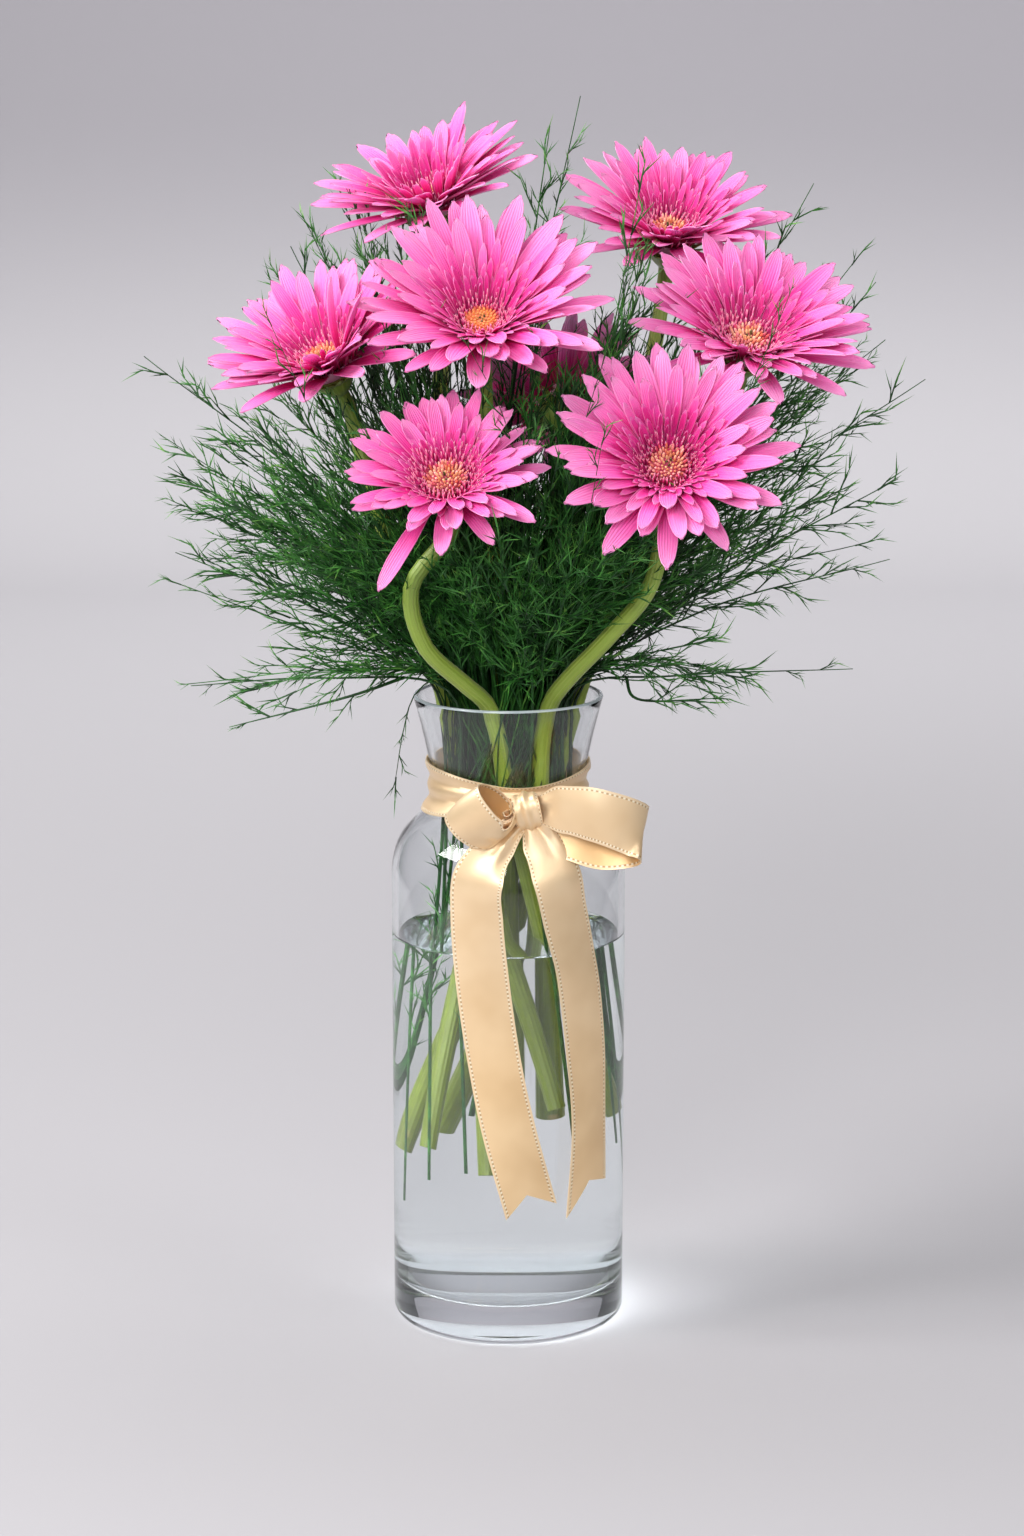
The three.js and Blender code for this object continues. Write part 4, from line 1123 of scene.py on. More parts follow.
def branch_of(route, bare, order, index, place=None):
    """Where a side branch starts, which way it heads and how long it is."""
    place = (index + 0.6 * draw(index, order)) / BRANCHES_PER_PLUME if place is None else place
    share = bare + (LAST_BRANCH - bare) * place
    along = route.tangent(share)
    level = Z_AXIS.cross(along).normalized()
    outward = Matrix.Rotation(math.radians(GOLDEN_ANGLE * index + 60 * order), 3, along) @ level
    slant = math.radians(BRANCH_SLANT["tip"] + BRANCH_SLANT["gain"] * (1 - share)
                         + BRANCH_SLANT["spread"] * draw(index, order + 40))
    vary = 1 + BRANCH_LENGTH["spread"] * (draw(index, order + 80) - 0.5)
    length = (BRANCH_LENGTH["gain"] * (1 - share) ** BRANCH_LENGTH["power"] + BRANCH_LENGTH["tip"]) * vary
    heading = along * math.cos(slant) + outward * math.sin(slant)
    return route.at(share), heading, length * (HANGING_SHARE if heading.z < -0.2 else 1)


def aim(start, heading, scale, roll):
    """Places a template that lies along +X at start, pointing along heading."""
    turn = heading.to_track_quat("X", "Z").to_matrix().to_4x4()
    return (Matrix.Translation(start) @ turn @ Matrix.Rotation(roll, 4, "X")
            @ Matrix.Diagonal((scale, scale, scale, 1)))


def build_fern(fern, order, twigs, clearance, material):
    points = node_points(f"fern_{fern['name']}")
    work = new_mesh_work()
    foot, neck, _ = fern_stem_route(fern)
    tube(work, Route([foot, neck]), lambda share: FERN_STEM_RADIUS, 6, 6, tones=lambda share: 0.2)
    for number, route in enumerate(plume_routes(fern)):
        bare = FORK_BARE if number else LEADER_BARE
        key = order * 3 + number
        tube(work, route, lambda share: FERN_STEM_RADIUS * (1 - 0.75 * share), 6, 24,
             tones=lambda share: 0.3 * share)
        low_plume = route.points[-1].z < LOW_PLUME_Z
        for i in range(BRANCHES_PER_PLUME):
            start, heading, length = branch_of(route, bare, key, i)
            length *= LOW_BRANCH if low_plume else 1
            end = start + heading * length
            solid_length = length / LOW_BRANCH if low_plume else length
            solid_end = points.find(start + heading * solid_length)[2]
            if solid_end < SAME_TIP and end.z > LOWEST_BRANCH and not (low_plume and i % 2):
                grow_branch(work, twigs, start, heading, length, key * 40 + i)
        for i in range(0, 0 if low_plume else BRANCHES_PER_PLUME - 1, 2):
            index = i + BRANCHES_PER_PLUME + 3
            start, heading, length = branch_of(route, bare, key, index, (i + 0.8) / BRANCHES_PER_PLUME)
            if (start + heading * length).z > LOWEST_BRANCH:
                grow_branch(work, twigs, start, heading, length * EXTRA_BRANCH, key * 40 + index)
    if WISP_NECKS[0] < fern["neck"] < WISP_NECKS[1]:
        grow_wisps(work, Route([foot, neck]), order, twigs)
    if fern["name"] == "front":
        grow_crossings(work, twigs)
    grow_strands(work, fern, order, twigs, clearance)
    grow_fillers(work, fern, order, twigs, clearance)
    # Painted shade: needles above the neck, near the middle, behind the front and below the heads, get a
    # depth mark that the fern paint darkens.
    _, depth = marks(work)
    for vert in work.verts:
        if vert.co.z > NECK_Z:
            painted_shade_core = 1 - smooth(50, 100, abs(vert.co.x - 5))
            vert[depth] = painted_shade_core * smooth(-42, 5, vert.co.y) * (1 - smooth(430, 520, vert.co.z))
    return finish_piece(work, f"fern_spray_{fern['name']}", [material], [f"fern_{fern['name']}"],
                        shade_smooth=False)


def inside_box(point):
    return all(a + BOX_MARGIN < v < b - BOX_MARGIN for v, a, b in zip(point, LOW_CORNER, HIGH_CORNER))


class Clearance:
    """Where the fern may not grow: in a bloom's bowl, in a stem, or in front of the two front stems."""

    STEM_ROOM = 7
    FRONT_STEMS = (6, 7)
    BACK_HEAD = 8

    def __init__(self):
        self.heads = [(head_frame(head).inverted(), head) for head in HEADS]
        spots = []
        for head in HEADS:
            route = stem_route(head)
            count = round(route.length / 4)
            for i in range(count + 1):
                at = route.at(i / count)
                in_front = head["seed"] in self.FRONT_STEMS and at.z > NECK_Z
                shifts = range(0, 40, 8) if in_front else (0,)
                spots += [at - Vector((0, shift, 0)) for shift in shifts]
        self.stems = KDTree(len(spots))
        for i, spot in enumerate(spots):
            self.stems.insert(spot, i)
        self.stems.balance()

    def hides_back_head(self, point):
        """Whether a point stands in the gap that the back head is seen through."""
        eye, target, radius = BACK_GAP
        along = (Vector(target) - Vector(eye)).normalized()
        beyond = point - Vector(target)
        return point.y < target[1] and (beyond - along * beyond.dot(along)).length < radius

    def allows(self, point):
        if not inside_box(point) or self.hides_back_head(point):
            return False
        if self.stems.find(point)[2] < self.STEM_ROOM:
            return False
        for into, head in self.heads:
            local = into @ point
            out = math.hypot(local.x, local.y)
            bowl = max(out - 9, 0) * math.tan(math.radians(head["cup"] + 8))
            under = -40 if head["seed"] == self.BACK_HEAD else -9
            if out < head["radius"] and under < local.z - bowl < 16:
                return False
        return True


def neck_points(degrees, inner, spread, sway):
    """Where a strand passes the neck and the lip, at an angle round them and swaying aside."""
    turn, lower = math.radians(degrees), math.radians(degrees + 130 * (sway - 0.5))
    start = Vector((inner * math.cos(lower), inner * math.sin(lower), NECK_Z - 6))
    outer = inner + spread
    return start, Vector((outer * math.cos(turn), outer * math.sin(turn), FERN_LIP_Z))


def grow_strands(work, fern, order, twigs, clearance):
    """Thin strands that rise from the neck and fan out round each plume, set with short twigs."""
    for number, route in enumerate(plume_routes(fern)):
        tip_z = route.points[-1].z
        low_plume = tip_z < LOW_PLUME_Z
        if low_plume:
            count = STRANDS_PER_LOW_PLUME
        else:
            count = STRANDS_PER_SIDE_PLUME if tip_z < SIDE_PLUME_Z else STRANDS_PER_PLUME
        for i in range(count):
            seed = 7000 + (order * 3 + number) * 60 + i
            reach = 0.4 + 0.57 * draw(seed, 1) ** 1.4
            along = route.tangent(reach)
            first = along.orthogonal().normalized()
            turn = math.tau * draw(seed, 2)
            aside = first * math.cos(turn) + along.cross(first) * math.sin(turn)
            aside *= (0.4 if low_plume else 1) * STRAND_FAN * route.length * math.sqrt(draw(seed, 3))
            tip = route.at(reach) + aside
            tip.z = max(tip.z, FERN_LIP_Z + (6 if low_plume else 0.42 * (math.hypot(tip.x - 5, tip.y) - 30)))
            start, lip = neck_points(fern["neck"] + 50 * (draw(seed, 4) - 0.5), 12 + 16 * draw(seed, 5),
                                     5 + 4 * draw(seed, 6), draw(seed, 7))
            via = route.at(0.45 * reach + 0.1) + aside * 0.4
            via.z = max(via.z, FERN_LIP_Z + 14)
            grow_strand(work, Route([start, lip, via, tip]), seed, twigs, clearance)


def grow_crossings(work, twigs):
    """A few strands that cross in front of the petals."""
    for number, points in enumerate(CROSSING_STRANDS):
        seed = 12000 + number * 40
        strand = Route(points)
        count = round(strand.length / CROSSING_STEP)
        tube(work, strand, lambda share: 0.42 - 0.24 * share, 3, count * 2, (0, 1), lambda share: 0.2)
        for i in range(2, count + 1):
            share = i / count
            along = strand.tangent(share)
            level = along.orthogonal().normalized()
            around = Matrix.Rotation(math.tau * draw(seed, i), 3, along) @ level
            heading = (along + around * (0.1 if i == count else 0.5)).normalized()
            grow_branch(work, twigs, strand.at(share), heading, 7 + 7 * draw(seed, i + 40), seed + i)


def grow_wisps(work, stem, order, twigs):
    """Small twigs on the fern's stem inside the vase, turned up along it and clear of the glass."""
    for i in range(WISPS_PER_STEM):
        seed = 11000 + order * 30 + i
        share = 0.35 + 0.6 * (i + draw(seed, 1)) / WISPS_PER_STEM
        along = stem.tangent(share)
        level = along.orthogonal().normalized()
        around = Matrix.Rotation(math.tau * draw(seed, 2), 3, along) @ level
        slant = math.radians(12 + 22 * draw(seed, 3))
        heading = along * math.cos(slant) + around * math.sin(slant)
        length = 11 + 13 * draw(seed, 4)
        end = stem.at(share) + heading * (length + 3)
        if math.hypot(end.x, end.y) < glass_radius(end.z) - WALL - 4:
            grow_branch(work, twigs, stem.at(share), heading, length, seed)


def grow_fillers(work, fern, order, twigs, clearance):
    """Short strands that fill the middle of the bunch, from the lip up to the heads."""
    for i in range(FILLERS_PER_FERN):
        seed = 9500 + order * 60 + i
        heading = math.radians(fern["neck"] + 70 * (draw(seed, 1) - 0.5))
        if i % 4:
            tilt, length = math.radians(8 + 50 * math.sqrt(draw(seed, 2))), 70 + 90 * draw(seed, 3)
        else:
            tilt, length = math.radians(2 + 26 * draw(seed, 2)), 150 + 90 * draw(seed, 3)
        start, lip = neck_points(math.degrees(heading), 6 + 22 * draw(seed, 5), 5, draw(seed, 7))
        outward = Vector((math.cos(heading), math.sin(heading), 0))
        tip = lip + (outward * math.sin(tilt) + Z_AXIS * math.cos(tilt)) * length
        via = lip + (outward * math.sin(tilt * 0.7) + Z_AXIS * math.cos(tilt * 0.7)) * length * 0.4
        grow_strand(work, Route([start, lip, via, tip]), seed, twigs, clearance)


def grow_strand(work, strand, seed, twigs, clearance):
    count = round(strand.length / STRAND_STEP)
    first = next(i for i in range(count) if strand.at(i / count).z > FERN_LIP_Z + 3)
    stop = count
    for i in range(first, count + 1):
        if not clearance.allows(strand.at(i / count)):
            stop = i - 1
            break
    if stop < first + 2:
        return
    last = stop / count
    bright = 0.9 * draw(seed, 91)
    tube(work, strand, lambda share: 0.55 - 0.3 * share / last, 3, max(6, stop), (0, last),
         lambda share: bright)
    for i in range(first, stop + 1):
        share = i / count
        along = strand.tangent(share)
        level = along.orthogonal().normalized()
        around = Matrix.Rotation(math.radians(GOLDEN_ANGLE * i + 40 * draw(seed, i)), 3, along) @ level
        slant = math.radians(12 + 14 * draw(seed, i + 30))
        heading = along if i == stop else along * math.cos(slant) + around * math.sin(slant)
        length = (21 - 6 * share) * (0.5 + 0.7 * draw(seed, i + 60))
        start = strand.at(share)
        end = start + heading * length
        kept = draw(seed, i + 90) > 0.45 * smooth(0.6, 1, share) or i == stop
        if kept and end.z > LOWEST_TWIG and inside_box(end):
            grow_branch(work, twigs, start, heading, length, seed + i)


def grow_branch(work, twigs, start, heading, length, seed):
    size = min(BRANCH_SIZES, key=lambda value: abs(value - length))
    kind = int(draw(seed, 6) * BRANCH_KINDS)
    stamp(work, twigs[size, kind], aim(start, heading, length / size, math.tau * draw(seed, 8)))


# ---- vase and water --------------------------------------------------------------------------

def wall_outline(inset):
    """The wall from the shoulder to the lip, moved in towards the axis by inset."""
    shoulder = [bezier(SHOULDER, i / 24) for i in range(25)]
    flare = [bezier(FLARE, i / 12) for i in range(1, 13)]
    return [(p.x - inset, p.y) for p in shoulder + flare]


def turned(work, profile, steps=128):
    """Spins an outline of (radius, height) about the vase's axis into a closed body."""
    verts = [work.verts.new((x, 0, z)) for x, z in profile]
    edges = [work.edges.new(pair) for pair in zip(verts, verts[1:])]
    bmesh.ops.spin(work, geom=verts + edges, cent=(0, 0, 0), axis=(0, 0, 1), angle=2 * math.pi,
                   steps=steps, use_merge=True)
    bmesh.ops.remove_doubles(work, verts=work.verts, dist=1e-3)
    bmesh.ops.recalc_face_normals(work, faces=work.faces)


def arc(centre, radius, start, end, steps):
    """Points on a circle's arc in the outline's plane, in degrees from +X."""
    turns = [math.radians(start + (end - start) * i / steps) for i in range(steps + 1)]
    return [(centre[0] + radius * math.cos(t), centre[1] + radius * math.sin(t)) for t in turns]


def build_vase(materials):
    work = new_mesh_work()
    outside = wall_outline(0)
    lip = arc((LIP_X, 300.7), 1.05, 0, 180, 8)
    inside = [(x + 0.9 * smooth(255, 300, z), z) for x, z in reversed(wall_outline(WALL))]
    foot = [(0, 0.9), (44, 0.9), (47, 0.4), (49, 0.02)] + arc((50, 5), 5, -88, 0, 10)
    floor = arc((46, GLASS_FOOT + 6), 6, 0, -80, 8)
    floor += [(38, GLASS_FOOT + 0.1), (20, GLASS_FOOT), (0, GLASS_FOOT)]
    turned(work, foot + [(55, 60), (55, 130)] + outside + lip[1:-1] + inside
           + [(52, 130), (52, 60)] + floor)
    for face in work.faces:
        # Faces above the lip's height take the pale lip paint, a painted highlight.
        face.material_index = 1 if face.calc_center_median().z > LIP_Z else 0
    return finish_piece(work, "vase_glass", materials, ["vase"])


def build_water(material):
    """The water, whose skin bites a hair into the glass and creeps up the wall at its edge."""
    work = new_mesh_work()
    floor = [(x + WATER_BITE, z - WATER_BITE) for x, z in arc((46, GLASS_FOOT + 6), 6, -80, 0, 8)]
    rim = [(52 + WATER_BITE, WATER_LEVEL), (51.5, WATER_LEVEL - 0.5), (50.6, WATER_LEVEL - 1.1),
           (49, WATER_LEVEL - 1.5), (46, WATER_LEVEL - 1.6), (20, WATER_LEVEL - 1.6), (0, WATER_LEVEL - 1.6)]
    turned(work, [(0, GLASS_FOOT - WATER_BITE), (38, GLASS_FOOT - WATER_BITE)] + floor
           + [(52 + WATER_BITE, 60), (52 + WATER_BITE, 130)] + rim)
    return finish_piece(work, "vase_water", [material], ["water"])


# ---- ribbon ----------------------------------------------------------------------------------

def glass_radius(z):
    """The vase's outside radius at a height."""
    if z <= SHOULDER[0][1]:
        return SHOULDER[0][0]
    outline = wall_outline(0)
    for (x0, z0), (x1, z1) in zip(outline, outline[1:]):
        if z1 >= z:
            return x0 + (x1 - x0) * (z - z0) / (z1 - z0)
    return outline[-1][0]


class RibbonRun:
    """A length of ribbon: its middle and half its width along its stations."""

    def __init__(self, stations):
        self.middle = Route([at for at, _, _ in stations])
        self.halves = [
            Vector(across).normalized() * spread * RIBBON_WIDTH / 2 for _, across, spread in stations]
        self.spreads = [spread for _, _, spread in stations]
        last = len(stations) - 1
        marks_along = [round(self.middle.DIVISIONS * i / last) for i in range(last + 1)]
        self.shares = [self.middle.lengths[i] / self.middle.length for i in marks_along]

    def loop_middle(self):
        spots = [self.middle.at(share) for share in self.shares]
        return sum(spots, Vector()) / len(spots)

    def at(self, share):
        """The middle, half of the width, the outward normal and the spread at a share."""
        i = max(k for k in range(len(self.shares) - 1) if self.shares[k] <= share + 1e-9)
        part = smooth(0, 1, (share - self.shares[i]) / (self.shares[i + 1] - self.shares[i]))
        half = self.halves[i].lerp(self.halves[i + 1], part)
        spread = self.spreads[i] + (self.spreads[i + 1] - self.spreads[i]) * part
        along = self.middle.tangent(share)
        half = (half - along * half.dot(along)).normalized() * half.length
        return self.middle.at(share), half, half.cross(along).normalized(), spread


def lay_ribbon(work, run, seed, notch, skew, middle):
    """A strip of ribbon along a run, gathered in soft folds where it is narrow."""
    made = bmesh.ops.create_grid(work, x_segments=RIBBON_GRID[0], y_segments=RIBBON_GRID[1], size=1,
                                 calc_uvs=True)
    uv = work.loops.layers.uv["UVMap"]
    length = run.middle.length
    at, _, normal, _ = run.at(0.5)
    deep = TAIL_FOLD if middle is None else LOOP_FOLD
    bulge = RIBBON_CUP if middle is None or normal.dot(at - middle) > 0 else -RIBBON_CUP
    for vert in made["verts"]:
        side, share = vert.co.x, (vert.co.y + 1) / 2
        cut = notch * (1 - abs(side)) + skew * (1 - side) / 2
        share = share * (1 - cut * smooth(0.8, 1, share) / length)
        at, half, normal, spread = run.at(min(share, 1))
        gather = 1 - smooth(0.45, 0.98, spread)
        fold = gather * (deep * math.cos(side * math.pi * 1.9 + seed)
                         + 0.4 * deep * math.sin(side * 9 + seed * 2))
        sway = 0.6 * math.sin(share * 13 + seed) * side + 0.7 * math.sin(share * 9 + seed * 3)
        vert.co = at + half * side + normal * (fold + sway - bulge * (1 - gather) * side * side)
    for face in {f for v in made["verts"] for f in v.link_faces}:
        for loop in face.loops:
            loop[uv].uv.y *= length * MM
    return length


def tail_run(tail, twist):
    """A tail over the shoulder and down the side. twist turns it off the glass, in degrees."""
    middles = []
    for angle, z, off, _ in tail:
        radius = glass_radius(z) + TAIL_STAND_OFF + off
        turn = math.radians(angle)
        middles.append(Vector((radius * math.sin(turn), -radius * math.cos(turn), z)))
    stations = []
    for i, (angle, _, _, spread) in enumerate(tail):
        ahead = middles[min(i + 1, len(middles) - 1)] - middles[max(i - 1, 0)]
        outward = Vector((math.sin(math.radians(angle)), -math.cos(math.radians(angle)), 0))
        turned_by = math.radians(twist) * smooth(0, 4, i)
        across = Matrix.Rotation(turned_by, 3, ahead) @ ahead.cross(outward)
        stations.append((middles[i], across, spread))
    return RibbonRun(stations)


def left_loop_run():
    centre, long, deep = (Vector(LEFT_LOOP[name]) for name in ("centre", "long", "deep"))
    oval = []
    for turn, spread in LEFT_LOOP["turns"]:
        t = math.radians(turn)
        oval.append((centre + long * math.cos(t) + deep * math.sin(t), LEFT_LOOP["across"], spread))
    return RibbonRun([LEFT_LOOP_START, *oval, LEFT_LOOP_END])


def settle(work, reach):
    """Puts a point that a sharp fold's thickness threw out of the cloth back beside its neighbours."""
    for vert in work.verts:
        if min(edge.calc_length() for edge in vert.link_edges) > reach:
            near = [edge.other_vert(vert).co for edge in vert.link_edges]
            vert.co = sum(near, Vector()) / len(near)


def cloth_piece(work, name, materials, middle=None):
    """Gives the cloth its thickness. A loop's inside takes the second material, orange near the knot as
    painted reflected light.
    """
    work.normal_update()
    bmesh.ops.solidify(work, geom=list(work.faces), thickness=CLOTH_THICKNESS)
    settle(work, LONGEST_STEP)
    bmesh.ops.recalc_face_normals(work, faces=work.faces)
    work.normal_update()
    for face in work.faces:
        inward = middle is not None and face.normal.dot(middle - face.calc_center_median()) > 0
        face.material_index = 1 if inward else 0
    piece = finish_piece(work, name, materials, ["satin_ribbon"])


def build_ribbon(materials):
    runs = [
        ("ribbon_loop_right", RibbonRun(RIGHT_LOOP), 0.3, 0, 0, "folded"),
        ("ribbon_loop_left", left_loop_run(), 1.4, 0, 0, "folded"),
        ("ribbon_tail_left", tail_run(LEFT_TAIL, 0), 2.2, TAIL_NOTCH, 0, "hung"),
        ("ribbon_tail_right", tail_run(RIGHT_TAIL, RIGHT_TAIL_TURN), 3.9, TAIL_NOTCH,
         RIGHT_TAIL_SKEW, "hung"),
    ]
    for name, run, seed, notch, skew, held in runs:
        work = new_mesh_work()
        middle = run.loop_middle() if held == "folded" else None
        length = lay_ribbon(work, run, seed, notch, skew, middle)
        cloth_piece(work, name, materials, middle)
    build_band(materials)
    build_knot(materials)


def build_band(materials):
    """One closed turn of creased ribbon round the neck, pinched towards the knot."""
    work = new_mesh_work()
    made = bmesh.ops.create_grid(work, x_segments=160, y_segments=18, size=1, calc_uvs=True)
    uv = work.loops.layers.uv["UVMap"]
    middle, reach = (BAND_TOP + BAND_BOTTOM) / 2, (BAND_TOP - BAND_BOTTOM) / 2
    for vert in made["verts"]:
        turn, level = math.pi * vert.co.x, vert.co.y
        from_knot = math.acos(max(-1, min(1, math.cos(turn - math.radians(KNOT_ANGLE - 90)))))
        pinch = 1 - 0.55 * math.exp(-((from_knot / 0.85) ** 2))
        slope = level + 0.10 * math.sin(turn * 2 + 1)
        crease = 0.95 * math.cos(slope * math.pi * 2.2 + 0.6 * math.sin(turn + 0.7))
        fine = 0.16 * math.sin(slope * 19 + 3 * math.sin(turn * 2)) * (0.5 + 0.5 * math.sin(turn * 3 + 2))
        z = middle + level * reach * pinch
        radius = glass_radius(z) + 1.55 + crease * (1 - 0.4 * abs(level)) + fine - 0.5 * level ** 6
        vert.co = (radius * math.cos(turn), radius * math.sin(turn), z)
    for face in work.faces:
        for loop in face.loops:
            across, along = loop[uv].uv
            loop[uv].uv = (along, across * BAND_LENGTH)
    bmesh.ops.remove_doubles(work, verts=work.verts, dist=1e-3)
    cloth_piece(work, "ribbon_band", materials)


def build_knot(materials):
    """The knot: ribbon drawn tight over the middle in lengthwise folds."""
    work = new_mesh_work()
    made = bmesh.ops.create_grid(work, x_segments=24, y_segments=40, size=1, calc_uvs=True)
    uv = work.loops.layers.uv["UVMap"]
    for vert in made["verts"]:
        side, turn = vert.co.x, math.radians(168) * vert.co.y
        folds = 0.55 * math.cos(side * 8 + 0.5 * math.sin(turn * 2))
        belly = 1 - 0.22 * side * side
        deep, tall = (6.6 + folds) * belly, (9.0 + folds) * belly
        vert.co = (5.9 * side * (1 + 0.1 * math.cos(turn)), -deep * math.cos(turn), tall * math.sin(turn))
    for face in work.faces:
        for loop in face.loops:
            loop[uv].uv.y *= KNOT_FLAT[1]
    lean = Matrix.Translation(KNOT_AT) @ Matrix.Rotation(math.radians(-12), 4, "Y")
    bmesh.ops.transform(work, matrix=lean, verts=work.verts)
    cloth_piece(work, "ribbon_knot", materials)


# ---- settings --------------------------------------------------------------------------------

class BloomSettings(bpy.types.PropertyGroup):
    petal_thickness: FloatProperty(
        name="Petal thickness", description="How thick a petal is, in millimetres", default=0.42, min=0.1)


class FernSettings(bpy.types.PropertyGroup):
    needle_radius: FloatProperty(
        name="Needle radius", description="Radius of a needle at its root, in millimetres",
        default=0.4, min=0.05)


class VaseSettings(bpy.types.PropertyGroup):
    glass_tint: FloatVectorProperty(
        name="Glass tint", description="Colour that the glass lends to what is behind it",
        subtype="COLOR", size=4, min=0, max=1, default=(0.96, 0.976, 0.985, 1))
    foot_tint: FloatVectorProperty(
        name="Foot tint", description="Colour that the thick foot lends to what is behind it",
        subtype="COLOR", size=4, min=0, max=1, default=(0.88, 0.925, 0.95, 1))
    water_tint: FloatVectorProperty(
        name="Water tint", description="Colour that the water lends to what is behind it",
        subtype="COLOR", size=4, min=0, max=1, default=(0.97, 0.99, 0.985, 1))
    glass_index: FloatProperty(
        name="Glass index", description="How strongly the glass bends light", default=1.46, min=1, max=2)
    water_index: FloatProperty(
        name="Water index", description="How strongly the water bends light", default=1.333, min=1, max=2)


class StageSettings(bpy.types.PropertyGroup):
    key_power: FloatProperty(
        name="Key power", description="Power of the lamp at the left", default=44, min=0, unit="POWER")
    front_power: FloatProperty(
        name="Front power", description="Power of the large lamp at the front", default=32, min=0,
        unit="POWER")
    strip_power: FloatProperty(
        name="Strip power", description="Power of the long lamp overhead", default=14, min=0, unit="POWER")
    fill_power: FloatProperty(
        name="Fill power", description="Power of the lamp at the right", default=10, min=0, unit="POWER")
    backdrop_power: FloatProperty(
        name="Backdrop power", description="Power of the lamp on the backdrop", default=28, min=0,
        unit="POWER")
    sky: FloatProperty(
        name="Sky", description="Brightness of the soft light from all round", default=0.39, min=0)


# ---- operators -------------------------------------------------------------------------------

class FLOWERS_OT_blooms(bpy.types.Operator):
    """Makes the petals, the ring of florets and the disc of each head"""
    bl_idname = "flowers.blooms"
    bl_label = "Blooms"

    def execute(self, context):
        thickness = context.scene.flower_blooms.petal_thickness
        paints = [petal_paint("petal_pink", False), petal_paint("petal_back", True), floret_paint()]
        disc = disc_paint()
        for head in HEADS:
            build_petals(head, paints, thickness)
            build_disc(head, disc)
        return {"FINISHED"}


class FLOWERS_OT_stems(bpy.types.Operator):
    """Makes each stem with its cup of bracts"""
    bl_idname = "flowers.stems"
    bl_label = "Stems"

    def execute(self, context):
        material = stem_paint()
        for head in HEADS:
            build_stem(head, material)
        return {"FINISHED"}


class FLOWERS_OT_ferns(bpy.types.Operator):
    """Makes the fern sprays with their needles"""
    bl_idname = "flowers.ferns"
    bl_label = "Fern sprays"

    def execute(self, context):
        needle = context.scene.flower_ferns.needle_radius
        material = fern_paint()
        twigs = {(size, kind): twig_template(size, kind, needle)
                 for size in BRANCH_SIZES for kind in range(BRANCH_KINDS)}
        clearance = Clearance()
        for order, fern in enumerate(FERNS):
            build_fern(fern, order, twigs, clearance, material)
        for mesh in twigs.values():
            bpy.data.meshes.remove(mesh)
        return {"FINISHED"}


class FLOWERS_OT_vase(bpy.types.Operator):
    """Makes the glass vase and the water in it"""
    bl_idname = "flowers.vase"
    bl_label = "Vase and water"

    def execute(self, context):
        settings = context.scene.flower_vase
        build_vase([glass_paint(settings.glass_tint, settings.foot_tint, settings.glass_index), lip_paint()])
        build_water(water_paint(settings.water_tint, settings.water_index))
        return {"FINISHED"}


class FLOWERS_OT_ribbon(bpy.types.Operator):
    """Ties the satin ribbon round the neck"""
    bl_idname = "flowers.ribbon"
    bl_label = "Satin ribbon"

    def execute(self, context):
        build_ribbon([satin_paint("champagne_satin", SATIN_PAINTED_HIGHLIGHT), satin_paint("satin_in_the_loop_painted_reflection", SATIN_IN_LOOP_PAINTED_REFLECTION)])
        return {"FINISHED"}


class FLOWERS_OT_stage(bpy.types.Operator):
    """Sets out the pale floor and backdrop, the dark flags, the soft lamps and the camera"""
    bl_idname = "flowers.stage"
    bl_label = "Stage"

    def execute(self, context):
        settings = context.scene.flower_stage
        build_sweep()
        build_flags()
        set_lamps(settings)
        set_camera()
        return {"FINISHED"}


# ---- stage -----------------------------------------------------------------------------------

def build_sweep():
    """A pale floor that curves up into a backdrop. Its grey is painted lighter further back and darker
    towards its top, painted light and shade in place of the lamps' fall-off.
    """
    work = bmesh.new()
    profile = [(-4200, 0), (-1500, 0), (300, 0), (2150, 0)]
    bend_y, bend_radius = SWEEP_BEND
    profile += [(bend_y + x, bend_radius + z) for x, z in arc((0, 0), bend_radius, -90, 0, 16)][1:]
    profile += [(2850, 1200), (2850, 4200)]
    verts = [work.verts.new((-SWEEP_HALF_WIDTH, y, z)) for y, z in profile]
    edges = [work.edges.new(pair) for pair in zip(verts, verts[1:])]
    made = bmesh.ops.extrude_edge_only(work, edges=edges)
    moved = [v for v in made["geom"] if isinstance(v, bmesh.types.BMVert)]
    bmesh.ops.translate(work, vec=(2 * SWEEP_HALF_WIDTH, 0, 0), verts=moved)
    bmesh.ops.recalc_face_normals(work, faces=work.faces)
    bmesh.ops.scale(work, vec=(MM, MM, MM), verts=work.verts)
    if work.faces and sum(f.normal.z for f in work.faces) < 0:
        bmesh.ops.reverse_faces(work, faces=work.faces)
    mesh = bpy.data.meshes.new("sweep")
    work.to_mesh(mesh)
    work.free()
    mesh.shade_smooth()
    paint = Paint("studio_grey_painted_falloff")
    split = paint.node("ShaderNodeSeparateXYZ", None, {"Vector": paint.place()})
    # Painted light and shade: the grey brightens further back and darkens with height.
    colour = paint.mix(split["Y"].between(-0.2, 0.8), 0xA4A2A6, 0xA7A5A9)
    colour = paint.mix(split["Y"].between(0.4, 2.2), colour, 0xCCCACE)
    colour = paint.mix(split["Z"].between(0.02, 0.5), colour, 0xA4A1A7)
    mesh.materials.append(paint.done(paint.surface(Base_Color=colour, Roughness=0.9)))
    floor = bpy.data.objects.new("sweep", mesh)
    bpy.context.scene.collection.objects.link(floor)


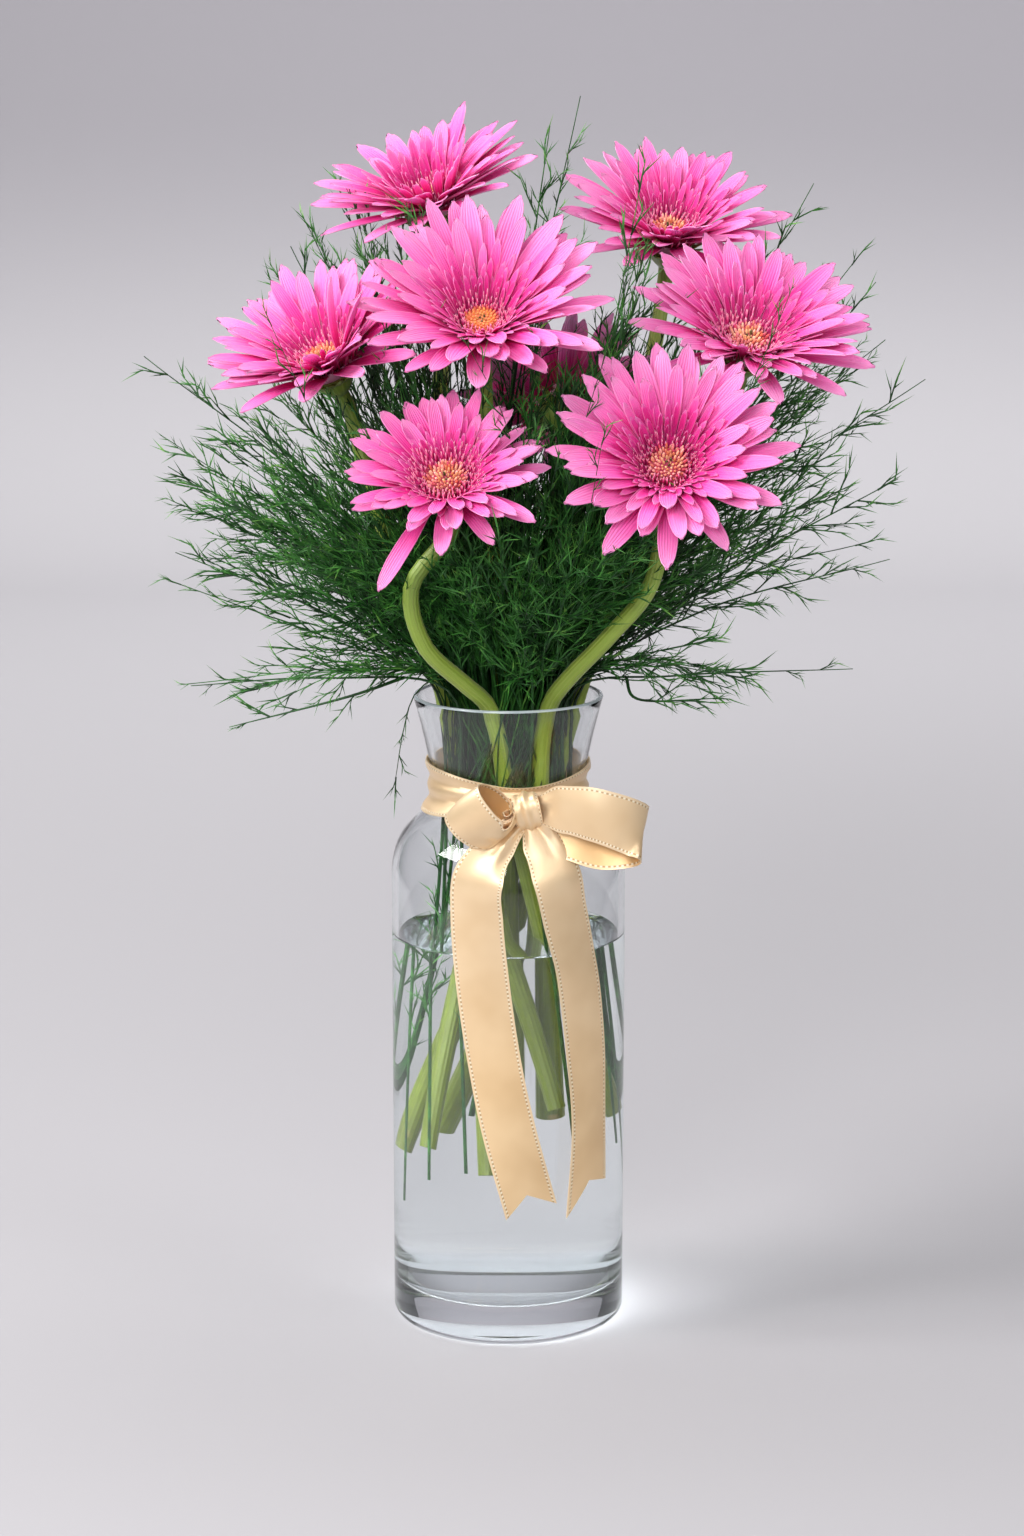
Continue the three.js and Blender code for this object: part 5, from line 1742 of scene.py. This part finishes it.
def build_flags():
    """Dark flags low down at both sides, out of sight, that give the glass its grey outline."""
    paint = Paint("flag_black")
    weave = paint.noise(90.0)
    material = paint.done(paint.surface(Base_Color=paint.mix(weave, 0x2C2E30, 0x343638), Roughness=0.9))
    for name, side in (("flag_left", -1), ("flag_right", 1)):
        work = bmesh.new()
        turn = Matrix.Rotation(math.radians(90 * side), 4, "Y")
        middle = Matrix.Translation((side * FLAG_DISTANCE, 0.2, FLAG_SIZE[0] / 2 + 0.01))
        bmesh.ops.create_grid(work, x_segments=1, y_segments=1, size=0.5)
        bmesh.ops.scale(work, vec=(*FLAG_SIZE, 1), verts=work.verts)
        bmesh.ops.transform(work, matrix=middle @ turn, verts=work.verts)
        mesh = bpy.data.meshes.new(name)
        work.to_mesh(mesh)
        work.free()
        mesh.materials.append(material)
        flag = bpy.data.objects.new(name, mesh)
        bpy.context.scene.collection.objects.link(flag)
        flag.visible_camera = flag.visible_diffuse = flag.visible_shadow = False


def add_lamp(name, place, target, size, power, colour=(1, 1, 1)):
    lamp = bpy.data.lights.new(name, "AREA")
    lamp.shape = "RECTANGLE"
    lamp.size, lamp.size_y = size
    lamp.energy = power
    lamp.color = colour
    holder = bpy.data.objects.new(name, lamp)
    holder.visible_transmission = False
    bpy.context.scene.collection.objects.link(holder)
    holder.location = place
    holder.rotation_euler = (Vector(target) - Vector(place)).to_track_quat("-Z", "Y").to_euler()


def set_lamps(settings):
    add_lamp("key", (-1.33, -0.44, 1.52), (0, 0, 0.3), (0.8, 0.8), settings.key_power, (1, 0.985, 0.97))
    add_lamp("strip", (0, 0.35, 1.9), (0, 0, 0.3), (2.6, 0.45), settings.strip_power)
    add_lamp("front", (-0.5, -2.2, 1.3), (0, 0, 0.35), (0.9, 0.7), settings.front_power)
    add_lamp("fill", (1.5, -0.9, 1.3), (0, 0, 0.3), (0.8, 0.8), settings.fill_power)
    add_lamp("backdrop", (0.4, 1.3, 2.2), (0.4, 2.85, 1.15), (2.6, 0.4), settings.backdrop_power)
    world = bpy.data.worlds.new("soft_room")
    world.use_nodes = True
    background = world.node_tree.nodes["Background"]
    background.inputs["Color"].default_value = (1, 1, 1, 1)
    background.inputs["Strength"].default_value = settings.sky
    bpy.context.scene.world = world
    bpy.context.scene.view_settings.view_transform = "Standard"
    paths = bpy.context.scene.cycles
    paths.max_bounces = paths.transmission_bounces = paths.glossy_bounces = LIGHT_BOUNCES
    paths.transparent_max_bounces = LIGHT_BOUNCES


def set_camera():
    lens = bpy.data.cameras.new("camera")
    lens.lens = 85
    lens.sensor_width = 36
    lens.sensor_fit = "AUTO"
    lens.clip_end = 50
    camera = bpy.data.objects.new("camera", lens)
    bpy.context.scene.collection.objects.link(camera)
    camera.location = CAMERA_PLACE
    camera.rotation_euler = (math.radians(90 - CAMERA_DIP), 0, 0)
    bpy.context.scene.camera = camera


# ---- add-on ----------------------------------------------------------------------------------

class FLOWERS_PT_sidebar(bpy.types.Panel):
    """Lists the steps that dress the bouquet"""
    bl_label = "Gerberas in a vase"
    bl_space_type = "VIEW_3D"
    bl_region_type = "UI"
    bl_category = "Flowers"

    def draw(self, context):
        for operator in OPERATORS:
            self.layout.operator(operator.bl_idname)
        for name, _ in SETTINGS:
            group = getattr(context.scene, name)
            for field in group.__annotations__:
                self.layout.prop(group, field)


SETTINGS = [
    ("flower_blooms", BloomSettings), ("flower_ferns", FernSettings),
    ("flower_vase", VaseSettings), ("flower_stage", StageSettings),
]
OPERATORS = [
    FLOWERS_OT_stage, FLOWERS_OT_vase, FLOWERS_OT_stems, FLOWERS_OT_blooms, FLOWERS_OT_ferns,
    FLOWERS_OT_ribbon,
]
CLASSES = [group for _, group in SETTINGS] + OPERATORS + [FLOWERS_PT_sidebar]


def register():
    for cls in CLASSES:
        bpy.utils.register_class(cls)
    for name, group in SETTINGS:
        setattr(bpy.types.Scene, name, PointerProperty(type=group))


def unregister():
    for name, _ in SETTINGS:
        delattr(bpy.types.Scene, name)
    for cls in reversed(CLASSES):
        bpy.utils.unregister_class(cls)


def main():
    register()
    for operator in OPERATORS:
        group, name = operator.bl_idname.split(".")
        getattr(getattr(bpy.ops, group), name)()


if __name__ == "__main__":
    main()
